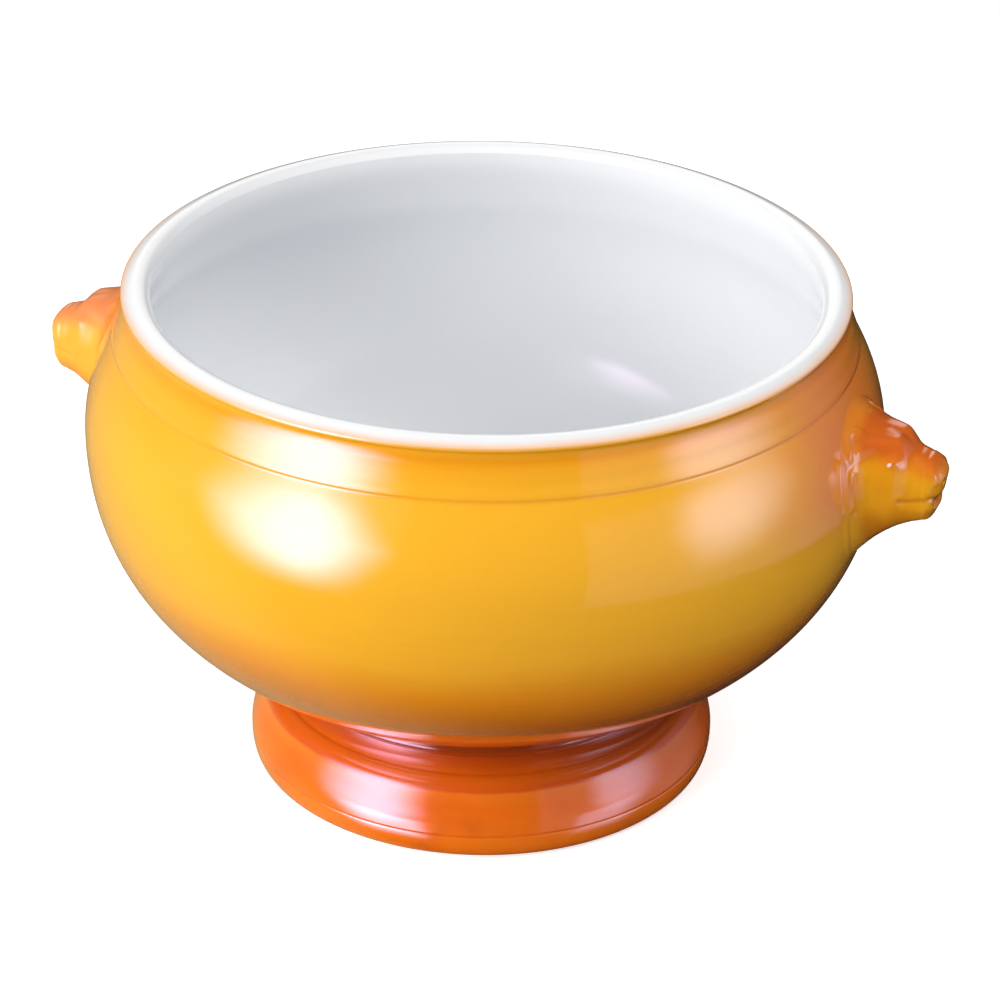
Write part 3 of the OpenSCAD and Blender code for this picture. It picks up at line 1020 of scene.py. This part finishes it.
@dataclass
class Foot:
    """The glazed foot and the bare ring that it stands on."""

    bowl: Bowl
    foot_r: float = 41.4
    band_h: float = 4.8
    line_width: float = 0.5
    line_depth: float = 0.1
    flare_top_z: float = 12.2
    flare_in: float = 2.3
    step_w: float = 2.8
    step_h: float = 2.2
    seat_w: float = 5.6
    ring_in: float = 1.8
    ring_w: float = 4.6
    ring_h: float = 1.4
    ring_stand: float = 0.4
    ring_bevel: float = 0.3
    inner_edge_w: float = 0.7
    # how far the handles of the curves reach, as shares of the way
    edge_pull_shares: tuple = (0.7, 0.42)
    flare_pull_shares: tuple = (0.4, 0.22)
    step_pull_shares: tuple = (0.45, 0.25)
    cove_leave_shares: tuple = (0.4, 0.15)
    cove_arrive_shares: tuple = (0.22, 0.32)
    hollow_pull_share: float = 0.35
    # how far the glaze rounds a corner, and degrees and millimetres between the points of a line
    corner_reach: float = 0.1
    hollow_corner_reach: float = 0.12
    line_steps: tuple = (4.0, 0.8)
    hollow_steps: tuple = (5.0, 1.2)
    ring_steps: tuple = (8.0, 0.5)
    ring_fineness: float = 0.02
    wheel: TurnedPiece = field(default_factory=TurnedPiece)

    def __post_init__(self) -> None:
        """Works out the radii of the ring, and takes the waist from the bowl."""
        self.waist_r, self.waist_z = self.bowl.waist_r, self.bowl.waist_z
        self.ring_r = self.foot_r - self.ring_in
        self.ring_inner_r = self.ring_r - self.ring_w

    def outline(self) -> np.ndarray:
        """Closed outline of the glazed foot, from the outer edge of the ring's groove round to it.

        Returns:
            Array of points, of which the last is the first.
        """
        start = point(self.foot_r, self.band_h + self.line_width / 2)
        end = point(self.foot_r - self.flare_in, self.flare_top_z)
        step_end = end + point(-self.step_w, self.step_h)
        step_pull, step_lean = self.step_pull_shares
        span = end[1] - start[1]
        waist = point(self.waist_r, self.waist_z)
        cove = waist - step_end
        edge = point(self.ring_r, self.ring_stand)
        band_top = point(self.foot_r, self.band_h - self.line_width / 2)
        rise = band_top[1] - edge[1]
        top = point(self.waist_r - self.seat_w, self.waist_z)
        low = point(self.ring_inner_r - self.inner_edge_w, self.ring_stand + self.inner_edge_w)
        line = np.vstack([
            Pull(edge, edge + point(self.edge_pull_shares[0] * (self.foot_r - self.ring_r), 0),
                 point(self.foot_r, edge[1] + self.edge_pull_shares[1] * rise), band_top).points(),
            [point(self.foot_r - self.line_depth, self.band_h)],
            Pull(start, start + point(0, self.flare_pull_shares[0] * span),
                 end + self.flare_pull_shares[1] * point(self.flare_in, -span), end).points(),
            Pull(end, end + step_pull * point(-step_lean * self.step_w, self.step_h),
                 step_end + point(step_pull * self.step_w, 0), step_end).points()[1:],
            Pull(step_end, step_end + np.array(self.cove_leave_shares) * cove,
                 waist - np.array(self.cove_arrive_shares) * cove, waist).points()[1:]])
        pull = point(0, self.hollow_pull_share * (top[1] - low[1]))
        hollow = np.vstack([Pull(top, top - pull, low + pull, low).points(),
                            [point(self.ring_inner_r, self.ring_stand)]])
        groove = np.array([point(self.ring_inner_r, self.ring_h), point(self.ring_r, self.ring_h)])
        return np.vstack([thinned(softened(line, self.corner_reach), *self.line_steps),
                          thinned(softened(hollow, self.hollow_corner_reach), *self.hollow_steps),
                          groove, [line[0]]])

    def build_foot(self) -> None:
        """The flared foot with its line, step and cove."""
        piece = self.wheel.turn("flared_foot", self.outline(), FootGlaze())
        hand_over(piece, "pedestal_foot")

    def build_ring(self) -> None:
        """The standing ring."""
        inner, outer, bevel = self.ring_inner_r, self.ring_r, self.ring_bevel
        low = np.array([point(inner, self.ring_h), point(inner, bevel), point(inner + bevel, 0),
                        point(outer - bevel, 0), point(outer, bevel), point(outer, self.ring_h)])
        line = thinned(softened(low, self.corner_reach, self.ring_fineness), *self.ring_steps)
        piece = self.wheel.turn("standing_ring_clay", np.vstack([line, [line[0]]]), BareClay())
        hand_over(piece, "standing_ring")


# Lion heads


# columns of a head's sections
ALONG, UP, DOWN, ASIDE, ROUNDNESS = range(5)

# glaze of the left head, which is thicker and softer; its paler colours are painted light, and its lighter
# red is a painted highlight on the brow and nose
SOFT_PAINTED_LIGHT_HEAD_GLAZE = HeadGlaze(name="fired_head_glaze_soft_painted_light", amber=(246, 168, 36), pale=(252, 190, 62),
                            red=(243, 138, 90), deep=(214, 112, 30), coat=0.3, gloss=(0.32, 0.08, 0.4))


class Side(Enum):
    """Which way a head looks: along +X or along -X."""

    RIGHT = 1
    LEFT = -1


@dataclass(frozen=True)
class Carving:
    """A carved line or swelling of a head.

    Its points are shares of the head's length, width and height. Its width and height are shares
    of the head's width, and forward is the share of its height that goes along the head.
    """

    points: tuple
    width: float
    height: float
    forward: float

    def dense(self, steps: int = 6) -> np.ndarray:
        """The line with a smooth curve through its points.

        Args:
            steps: stretches from one point to the next.

        Returns:
            Array of points.
        """
        knots = np.array(self.points, float)
        if len(knots) < 3:
            return knots
        padded = np.vstack([2 * knots[0] - knots[1], knots, 2 * knots[-1] - knots[-2]])
        found = []
        for i in range(1, len(padded) - 2):
            a, b, c, d = padded[i - 1:i + 3]
            for t in np.linspace(0, 1, steps, endpoint=False):
                found.append(0.5 * (2 * b + (c - a) * t + (2 * a - 5 * b + 4 * c - d) * t * t
                                    + (3 * b - a - 3 * c + d) * t ** 3))
        return np.vstack([found, [knots[-1]]])


@dataclass
class LionHead:
    """One lion head handle, lofted from its sections and then carved."""

    bowl: Bowl
    side: Side
    reach: float = 12.9
    root_depth: float = 3.3
    rise: float = 2.2
    height: float = 17.0
    width: float = 17.0
    slip_gap: float = 0.05
    sink: float = 0.25
    back_sink: float = 1.0
    side_rings: int = 150
    front_rings: int = 70
    sides: int = 200
    front_dome_share: float = 0.164
    front_power: float = 2.2
    root_blend_share: float = 0.16
    spine_end_share: float = 0.6
    root_blend_power: float = 1.5
    section_softness: float = 0.02
    # first, last and number of the shifts that soften a section, in steps of its softness
    section_shifts: tuple = (-2, 2, 9)
    # rings lie closer together at the root by this share
    ring_crowding: float = 0.35
    # how far along the head its carving fades in, and its skirt comes out of the wall
    carving_fade_share: float = 0.05
    seat_share: float = 0.13
    seat_softness: float = 0.35
    least_stand: float = 0.12
    # heights and number of the places where the wall's radius is looked up
    seat_heights: tuple = (40.0, 86.0, 460)
    left_relief: float = 0.5
    # by column: along, up, down, out to the side, roundness
    sections: tuple = (
        (0.00, 0.790, 0.960, 0.820, 1.00), (0.05, 0.745, 0.920, 0.780, 1.00),
        (0.11, 0.690, 0.855, 0.700, 1.00), (0.17, 0.640, 0.790, 0.610, 0.97),
        (0.23, 0.600, 0.725, 0.545, 0.93), (0.32, 0.565, 0.635, 0.495, 0.90),
        (0.42, 0.540, 0.550, 0.465, 0.88), (0.53, 0.510, 0.470, 0.430, 0.84),
        (0.60, 0.455, 0.435, 0.385, 0.82), (0.66, 0.385, 0.410, 0.345, 0.80),
        (0.72, 0.350, 0.385, 0.320, 0.78), (0.77, 0.342, 0.375, 0.305, 0.76),
        (0.82, 0.320, 0.355, 0.285, 0.76))
    carvings: tuple = (
        # collar of the mane, and the hollow between it and the jaw
        Carving(((0.03, 0.66, 0.38), (0.05, 0.72, 0.24), (0.06, 0.75, 0.08), (0.06, 0.73, -0.10)),
                0.085, 0.026, 0.8),
        Carving(((0.105, 0.655, 0.30), (0.115, 0.66, 0.12), (0.12, 0.65, -0.09)), 0.060, -0.026, 0.6),
        # lock of the mane behind the jaw, and the crease in front of it
        Carving(((0.16, 0.60, 0.25), (0.16, 0.63, 0.05), (0.17, 0.61, -0.12)), 0.042, 0.026, 0.3),
        Carving(((0.19, 0.565, 0.23), (0.18, 0.61, 0.04), (0.205, 0.57, -0.16)), 0.026, -0.018, 0.1),
        # rim of the ear and the hollow in it
        Carving(((0.12, 0.55, 0.40), (0.06, 0.44, 0.59), (0.10, 0.31, 0.62), (0.19, 0.31, 0.575)),
                0.036, 0.030, 0.3),
        Carving(((0.13, 0.43, 0.53), (0.16, 0.40, 0.53)), 0.060, -0.020, 0.1),
        # brow, the crease under it and the furrow of the forehead
        Carving(((0.25, 0.35, 0.50), (0.38, 0.27, 0.51), (0.52, 0.20, 0.48)), 0.100, 0.030, 0.2),
        Carving(((0.16, 0.54, 0.375), (0.29, 0.41, 0.393), (0.43, 0.33, 0.424), (0.53, 0.27, 0.446)),
                0.055, -0.013, 0.0),
        Carving(((0.40, 0.00, 0.58), (0.62, 0.00, 0.48)), 0.050, -0.012, 0.0),
        # eye
        Carving(((0.535, 0.37, 0.335), (0.55, 0.365, 0.33)), 0.055, 0.035, 0.1),
        # mouth, lower lip, the notch under the nose and the chin set back behind it
        Carving(((0.62, 0.37, -0.065), (0.745, 0.315, -0.065), (0.86, 0.28, -0.05), (0.93, 0.22, -0.045),
                 (0.99, 0.00, -0.10)), 0.026, -0.016, 0.5),
        Carving(((0.65, 0.335, -0.16), (0.80, 0.275, -0.18), (0.89, 0.245, -0.16), (0.97, 0.00, -0.18)),
                0.050, 0.012, 0.5),
        Carving(((0.96, 0.14, -0.11), (0.99, 0.00, -0.125)), 0.050, -0.040, 1.0),
        Carving(((0.93, 0.20, -0.20), (0.97, 0.00, -0.22)), 0.110, -0.014, 1.0),
        # wing of the nose, leather of the nose and nostril
        Carving(((0.90, 0.21, 0.20), (0.905, 0.205, 0.12)), 0.045, 0.022, 0.5),
        Carving(((0.97, 0.09, 0.16), (0.98, 0.00, 0.16)), 0.110, 0.040, 1.0),
        Carving(((0.98, 0.085, 0.09), (0.985, 0.08, 0.085)), 0.032, -0.020, 0.9))

    def __post_init__(self) -> None:
        """Works out where the head lies."""
        self.root_x = self.bowl.belly_r - self.root_depth
        self.length = self.root_depth + self.reach
        self.dome = self.front_dome_share * self.length
        self.z = self.bowl.belly_z + self.rise
        heights = np.linspace(*self.seat_heights)
        self.seat_table = (heights, self.bowl.radius_at(heights))

    def seat_x(self, y: np.ndarray, z: np.ndarray) -> np.ndarray:
        """Where the outside of the bowl lies in front of a place."""
        return np.sqrt(np.maximum(np.interp(z, *self.seat_table) ** 2 - y * y, 0))

    def section(self, share: np.ndarray, column: int) -> np.ndarray:
        """A column of the sections, without the corners of the table.

        Args:
            share: shares of the head's length.
            column: which column.

        Returns:
            Its value at each share.
        """
        table = np.array(self.sections)
        shifts = np.linspace(*self.section_shifts)
        weights = np.exp(-0.5 * shifts ** 2)
        weights /= weights.sum()
        values = 0
        for shift, weight in zip(self.section_softness * shifts, weights):
            places = np.clip(share + shift, 0, table[-1, ALONG])
            values = values + weight * np.interp(places, table[:, ALONG], table[:, column])
        return values

    def offset(self, share: np.ndarray, angle: np.ndarray) -> tuple:
        """Offset from the spine.

        Args:
            share: shares of the head's length.
            angle: angles round the section.

        Returns:
            Offset to the side and offset upwards.
        """
        side = self.section(share, ASIDE) * self.width
        rise = np.where(np.sin(angle) > 0, self.section(share, UP), self.section(share, DOWN)) * self.height
        power = self.section(share, ROUNDNESS)
        across, up = np.cos(angle), np.sin(angle)
        return (side * np.sign(across) * np.abs(across) ** power, rise * np.sign(up) * np.abs(up) ** power)

    def push(self, places: np.ndarray) -> tuple:
        """What the carvings do at places.

        Args:
            places: points on the uncarved head.

        Returns:
            Push outwards, push forward, and the sum of both, which tells hollows from ridges.
        """
        mirrored = places.copy()
        mirrored[:, 1] = np.abs(mirrored[:, 1])
        out, forward, relief = (np.zeros(len(places)) for _ in range(3))
        scale = np.array([self.length, self.width, self.height])
        origin = np.array([self.root_x, 0, self.z])
        share = self.left_relief if self.side is Side.LEFT else 1.0
        for carving in self.carvings:
            line = origin + carving.dense() * scale
            nearest = np.full(len(places), np.inf)
            for a, b in zip(line[:-1], line[1:]):
                span = b - a
                t = np.clip(((mirrored - a) @ span) / (span @ span), 0, 1)
                nearest = np.minimum(nearest, np.linalg.norm(mirrored - a - t[:, None] * span, axis=1))
            fall = np.exp(-(nearest / (carving.width * self.width)) ** 2)
            push = share * carving.height * self.width * fall
            out += push * (1 - carving.forward)
            forward += push * carving.forward
            relief += push
        return out, forward, relief

    def carved(self, places: np.ndarray) -> tuple:
        """Carves the head.

        Args:
            places: points on the uncarved head.

        Returns:
            The places as the carvings move them, and the relief there.
        """
        out, forward, relief = self.push(places)
        spine_x = np.minimum(places[:, 0], self.root_x + self.spine_end_share * self.length)
        away = places - np.column_stack([spine_x, np.zeros(len(places)), np.full(len(places), self.z)])
        away /= np.maximum(np.linalg.norm(away, axis=1), TINY)[:, None]
        moved = places + out[:, None] * away
        moved[:, 0] += forward
        return moved, relief

    def ringed(self, points: np.ndarray, relief: np.ndarray, off: np.ndarray) -> tuple:
        """Puts points and their values in rings.

        Args:
            points: points of all rings, one ring after the other.
            relief: the carving at each point.
            off: how far each point stands off the wall.

        Returns:
            Array of rings by sides by 3, and array of rings by sides by 2.
        """
        return (points.reshape(-1, self.sides, 3),
                np.stack([relief, off], axis=-1).reshape(-1, self.sides, 2))

    def wall_to_muzzle(self, angles: np.ndarray) -> tuple:
        """Rings of points from the wall to the end of the sections.

        Args:
            angles: where the points lie round a ring.

        Returns:
            The points, and the relief and the stand off the wall at each, in rings.
        """
        t = np.linspace(0, 1, self.side_rings + 1)
        shares = self.sections[-1][ALONG] * (self.ring_crowding * t * t + (1 - self.ring_crowding) * t)
        share, angle = np.meshgrid(shares, angles, indexing="ij")
        y, up = self.offset(share, angle)
        z = self.z + up
        seat = self.seat_x(y, z)
        free = np.clip(share / self.root_blend_share, 0, 1) ** self.root_blend_power
        stand = np.maximum(self.root_x + share * self.length - seat, 0) * free
        fade = eased(share, self.carving_fade_share)
        sunk = eased(share, self.seat_share)
        x = seat - self.sink * (1 - sunk) + stand + self.slip_gap * sunk
        side = np.stack([x, y, z], axis=-1).reshape(-1, 3)
        moved, relief = self.carved(side)
        floor = (self.seat_x(moved[:, 1], moved[:, 2])
                 + (self.least_stand * sunk - self.sink * (1 - sunk)).ravel())
        moved = side + (moved - side) * fade.ravel()[:, None]
        gap = moved[:, 0] - floor
        moved[:, 0] = floor + 0.5 * (gap + np.hypot(gap, self.seat_softness * sunk.ravel()))
        off = moved[:, 0] - self.seat_x(moved[:, 1], moved[:, 2])
        return self.ringed(moved, relief, off)

    def muzzle_front(self, angles: np.ndarray) -> tuple:
        """Rings of points over the domed front of the muzzle, up to its tip.

        Args:
            angles: where the points lie round a ring.

        Returns:
            The points, and the relief and the stand off the wall at each, in rings.
        """
        end = self.sections[-1][ALONG]
        t = 1 - np.cos(np.linspace(0, 1, self.front_rings + 1)[1:-1] * math.pi / 2)
        share, angle = np.meshgrid(t, angles, indexing="ij")
        y, up = self.offset(np.full_like(share, end), angle)
        dome = self.dome * np.maximum(1 - (1 - share) ** self.front_power, 0) ** 0.5
        x = self.root_x + end * self.length + dome + self.slip_gap
        front = np.stack([x, y * (1 - share), self.z + up * (1 - share)], axis=-1).reshape(-1, 3)
        moved, relief = self.carved(front)
        off = np.full(len(relief), self.reach)
        return self.ringed(moved, relief, off)

    def glaze(self) -> Finish:
        """Glaze of the head."""
        return HeadGlaze() if self.side is Side.RIGHT else SOFT_PAINTED_LIGHT_HEAD_GLAZE

    def build(self) -> None:
        """Builds and dresses the head."""
        angles = np.linspace(0, 2 * math.pi, self.sides, endpoint=False)
        rings, found = (np.concatenate(both)
                        for both in zip(self.wall_to_muzzle(angles), self.muzzle_front(angles)))
        tip_x = self.root_x + self.sections[-1][ALONG] * self.length + self.dome + self.slip_gap
        tip, tip_relief = self.carved(np.array([[tip_x, 0, self.z]]))
        wall_x = self.seat_x(np.zeros(1), np.array([self.z]))[0]
        back = np.array([[wall_x - self.back_sink, 0, self.z]])
        points = np.vstack([rings.reshape(-1, 3), back, tip])
        values = np.vstack([found.reshape(-1, 2), [[0, 0]], [[tip_relief[0], self.reach]]]).astype(np.float32)
        sides = self.sides
        ring = np.arange(len(rings) - 1)[:, None] * sides
        here = np.arange(sides)[None, :]
        ahead = (here + 1) % sides
        quads = np.stack([ring + here, ring + ahead, ring + sides + ahead, ring + sides + here], axis=-1)
        faces = quads.reshape(-1, 4).tolist()
        last, back_i, tip_i = (len(rings) - 1) * sides, len(points) - 2, len(points) - 1
        faces += [[back_i, (k + 1) % sides, k] for k in range(sides)]
        faces += [[tip_i, last + k, last + (k + 1) % sides] for k in range(sides)]
        points = points * np.array([self.side.value, self.side.value, 1]) * MM
        name = "lion_head_" + self.side.name.lower()
        mesh = bpy.data.meshes.new(name + "_carved")
        mesh.from_pydata(points.tolist(), [], faces)
        for label, column in zip(HEAD_VALUES, values.T):
            attribute = mesh.attributes.new(label, "FLOAT", "POINT")
            attribute.data.foreach_set("value", np.ascontiguousarray(column))
        mesh.materials.append(self.glaze().material())
        mesh.shade_smooth()
        hand_over(stood(name + "_carved", mesh), name)


# Studio


@dataclass(frozen=True)
class SoftBox:
    """A big soft light in the surround that only the glaze reflects, held by its directions.

    Azimuths run from the near side (0) to the right (90). Each side gives where the glow is
    nothing and where it is whole, in degrees. Both sides close in by narrow degrees for each
    degree away from the height middle.
    """

    left: tuple
    right: tuple
    low: tuple
    high: tuple
    strength: float
    narrow: float = 0.0
    middle: float = 6.0
    tint: tuple = (248, 218, 255)

    def light(self, graph: Graph, way: Socket, azimuth: Socket, elevation: Socket) -> Socket:
        """Light in a direction.

        Args:
            graph: the world's tree.
            way: the direction, not used.
            azimuth: its azimuth in degrees.
            elevation: its elevation in degrees.

        Returns:
            The light's colour.
        """
        closed = abs(elevation - self.middle) * self.narrow
        across = (azimuth - closed).within(*self.left) * (azimuth + closed).within(*self.right)
        glow = across * elevation.within(*self.low) * elevation.within(*self.high) * self.strength
        return graph.scaled(paint(*self.tint)[:3], glow)


@dataclass(frozen=True)
class SoftGlow:
    """A wide glow of the white surround, round one direction, that only the glaze reflects."""

    azimuth: float
    elevation: float
    reach: float
    core: float
    strength: float
    tint: tuple = (255, 250, 246)

    def light(self, graph: Graph, way: Socket, azimuth: Socket, elevation: Socket) -> Socket:
        """Light in a direction, whole within the core and nothing past the reach.

        Args:
            graph: the world's tree.
            way: the direction.
            azimuth: its azimuth in degrees, not used.
            elevation: its elevation in degrees, not used.

        Returns:
            The light's colour.
        """
        nearness = graph.vector("DOT_PRODUCT", way, direction(self.azimuth, self.elevation)).other("Value")
        edge, whole = (math.cos(math.radians(angle)) for angle in (self.reach, self.core))
        return graph.scaled(paint(*self.tint)[:3], nearness.within(edge, whole) * self.strength)


@dataclass
class TableSheen:
    """Glow of a light on the polished table beside the foot, which only flat looks along it see."""

    name: str
    left: tuple
    right: tuple
    strength: float
    near: float = 41.0
    far: float = 110.0
    spread: float = 24.0
    lift: float = 0.1
    steps: int = 32
    # share of a look that goes straight down: nothing shows above the first, all below the second
    steepness: tuple = (0.66, 0.5)
    tint: tuple = (248, 218, 255)

    def shader(self, graph: Graph) -> Socket:
        """The glow, which only flat looks from its side see, over nothing.

        Args:
            graph: the material's tree.

        Returns:
            The shader.
        """
        look = graph.node("ShaderNodeNewGeometry", None, None, "Incoming")
        x = graph.node("ShaderNodeSeparateXYZ", None, {0: look}, "X")
        azimuth = graph.maths("ARCTAN2", -x, x.other("Y")) * (180 / math.pi)
        steep = abs(x.other("Z"))
        glow = azimuth.within(*self.left) * azimuth.within(*self.right) * steep.within(*self.steepness)
        light = graph.node("ShaderNodeEmission", None,
                           {"Color": paint(*self.tint), "Strength": glow * self.strength})
        return graph.node("ShaderNodeAddShader", None, {0: light, 1: graph.node("ShaderNodeBsdfTransparent")})

    def build(self) -> None:
        """The glow as a flat ring of the stage, which cameras and matt surfaces don't see."""
        steps = self.steps
        turns = np.linspace(self.left[0] - self.spread, self.right[0] + self.spread, steps + 1)
        places = [direction(turn, 0) * (r * MM) + Vector((0, 0, self.lift * MM))
                  for r in (self.near, self.far) for turn in turns]
        faces = [(i, i + steps + 1, i + steps + 2, i + 1) for i in range(steps)]
        mesh = bpy.data.meshes.new(self.name)
        mesh.from_pydata(places, [], faces)
        mesh.materials.append(dressed(bpy.data.materials.new(self.name), self.shader))
        sheen = stood(self.name, mesh)
        sheen.visible_camera = False
        sheen.visible_diffuse = False
        sheen.visible_shadow = False


@dataclass
class Lamp:
    """A soft square lamp that only matt surfaces see."""

    name: str
    azimuth: float
    elevation: float
    distance: float
    watts: float
    size: float = 0.7
    target_z: float = 0.05
    tint: tuple = (255, 253, 250)

    def build(self) -> None:
        """The lamp, turned to the middle of the bowl."""
        data = bpy.data.lights.new(self.name, "AREA")
        data.shape, data.size, data.energy = "SQUARE", self.size, self.watts
        data.color = paint(*self.tint)[:3]
        lamp = stood(self.name, data)
        way = direction(self.azimuth, self.elevation)
        lamp.location = way * self.distance + Vector((0, 0, self.target_z))
        lamp.rotation_euler = way.to_track_quat("Z", "Y").to_euler()
        lamp.visible_glossy = False


@dataclass
class Studio:
    """Pale floor, white surround, soft light and the camera."""

    camera_azimuth: float = 20.0
    camera_elevation: float = 28.02
    camera_distance: float = 0.7047
    target_z: float = 0.04623
    roll: float = 0.72
    lens: float = 144.0
    sensor: float = 36.0
    clip: tuple = (0.05, 20.0)
    shift_x: float = 0.01613
    shift_y: float = 0.01233
    surround: float = 0.25
    dark: float = 0.015
    floor_size: float = 12.0
    floor_fade: tuple = (0.16, 0.42)
    floor_lift: float = 0.62
    floor_colour: tuple = (0.8, 0.8, 0.8, 1.0)
    floor_bounce: tuple = (0.58, 0.58, 0.58, 1.0)
    boxes: tuple = (
        SoftBox((-70, -34), (-1, -25), (-30, -3), (38, 17), 11.5, 0.4, tint=(250, 208, 255)),
        SoftBox((47.5, 48.5), (160, 120), (-30, -28), (25, 18), 0.34, tint=(226, 216, 255)),
        SoftBox((69, 84), (121, 92), (-24, 6), (27, 12), 3.0, 0.2, tint=(206, 214, 255)))
    glows: tuple = (SoftGlow(-104, -36, 54, 22, 0.6, (255, 214, 150)), SoftGlow(200, 27, 26, 8, 1.6))
    lamps: tuple = (Lamp("lamp_left", -64, 13, 1.1, 6.2), Lamp("lamp_right", 102, 56, 1.2, 8.2),
                    Lamp("lamp_front", -20, 26, 1.3, 10.6))
    sheens: tuple = (TableSheen("sheen_left", (-56, -32), (-3, -13), 7.5),
                     TableSheen("sheen_right", (64, 70), (108, 86), 2.2, tint=(206, 214, 255)))

    def build_camera(self) -> None:
        """The camera, where the photograph was taken from."""
        data = bpy.data.cameras.new("camera")
        data.lens, data.sensor_width = self.lens, self.sensor
        data.shift_x, data.shift_y = self.shift_x, self.shift_y
        data.clip_start, data.clip_end = self.clip
        camera = stood("camera", data)
        way = direction(self.camera_azimuth, self.camera_elevation)
        turn = way.to_track_quat("Z", "Y").to_matrix() @ Matrix.Rotation(math.radians(self.roll), 3, "Z")
        place = way * self.camera_distance + Vector((0, 0, self.target_z))
        camera.matrix_world = Matrix.Translation(place) @ turn.to_4x4()
        bpy.context.scene.camera = camera

    def floor_shader(self, graph: Graph) -> Socket:
        """Pale floor that turns white away from the bowl for the camera, and grey for other rays.

        Args:
            graph: the material's tree.

        Returns:
            The shader.
        """
        place = graph.node("ShaderNodeTexCoord", None, None, "Object")
        far = graph.vector("LENGTH", place).other("Value").within(*self.floor_fade)
        seen = graph.node("ShaderNodeLightPath", None, None, "Is Camera Ray")
        matt, unseen = (graph.node("ShaderNodeBsdfDiffuse", None, {"Color": colour})
                        for colour in (self.floor_colour, self.floor_bounce))
        glow, white = (graph.node("ShaderNodeEmission", None, {"Strength": strength})
                       for strength in (self.floor_lift, 1.0))
        lifted = graph.node("ShaderNodeAddShader", None, {0: matt, 1: glow})
        shown = graph.node("ShaderNodeMixShader", None, {0: far, 1: lifted, 2: white})
        return graph.node("ShaderNodeMixShader", None, {0: seen, 1: unseen, 2: shown})

    def build_floor(self) -> None:
        """The floor, which keeps the bowl's shadow."""
        half = self.floor_size / 2
        mesh = bpy.data.meshes.new("floor")
        mesh.from_pydata([(-half, -half, 0), (half, -half, 0), (half, half, 0), (-half, half, 0)], [],
                         [(0, 1, 2, 3)])
        mesh.materials.append(dressed(bpy.data.materials.new("pale_floor"), self.floor_shader))
        floor = stood("floor", mesh)
        floor.visible_glossy = False

    def surround_shader(self, graph: Graph) -> Socket:
        """White for the camera, soft boxes and glows for the glaze, and a plain grey light for the rest.

        Args:
            graph: the world's tree.

        Returns:
            The shader.
        """
        seen = graph.node("ShaderNodeLightPath", None, None, "Is Camera Ray")
        glossy = seen.other("Is Glossy Ray")
        way = graph.node("ShaderNodeTexCoord", None, None, "Generated")
        x = graph.node("ShaderNodeSeparateXYZ", None, {0: way}, "X")
        azimuth = graph.maths("ARCTAN2", x, -x.other("Y")) * (180 / math.pi)
        elevation = graph.maths("ARCSINE", x.other("Z")) * (180 / math.pi)
        shine = graph.combined(self.dark, self.dark, self.dark)
        for source in self.boxes + self.glows:
            shine = graph.vector("ADD", shine, source.light(graph, way, azimuth, elevation))
        plain = self.surround + seen * (1 - self.surround)
        colour = graph.mix(glossy * (1 - seen), graph.combined(plain, plain, plain), shine)
        return graph.node("ShaderNodeBackground", None, {"Color": colour})

    def build(self) -> None:
        """Builds the whole studio."""
        self.build_camera()
        self.build_floor()
        bpy.context.scene.world = dressed(bpy.data.worlds.new("surround"), self.surround_shader)
        for light in self.lamps + self.sheens:
            light.build()
        bpy.context.scene.view_settings.view_transform = "Standard"


# Main


def main() -> None:
    """Builds every piece in order and reports it."""
    logging.basicConfig(level=logging.INFO, format="%(name)s: %(message)s")
    Studio().build()
    bowl = Bowl()
    foot = Foot(bowl)
    bowl.build_wall()
    bowl.build_lining()
    foot.build_foot()
    foot.build_ring()
    for side in Side:
        LionHead(bowl, side).build()


if __name__ == "__main__":
    main()
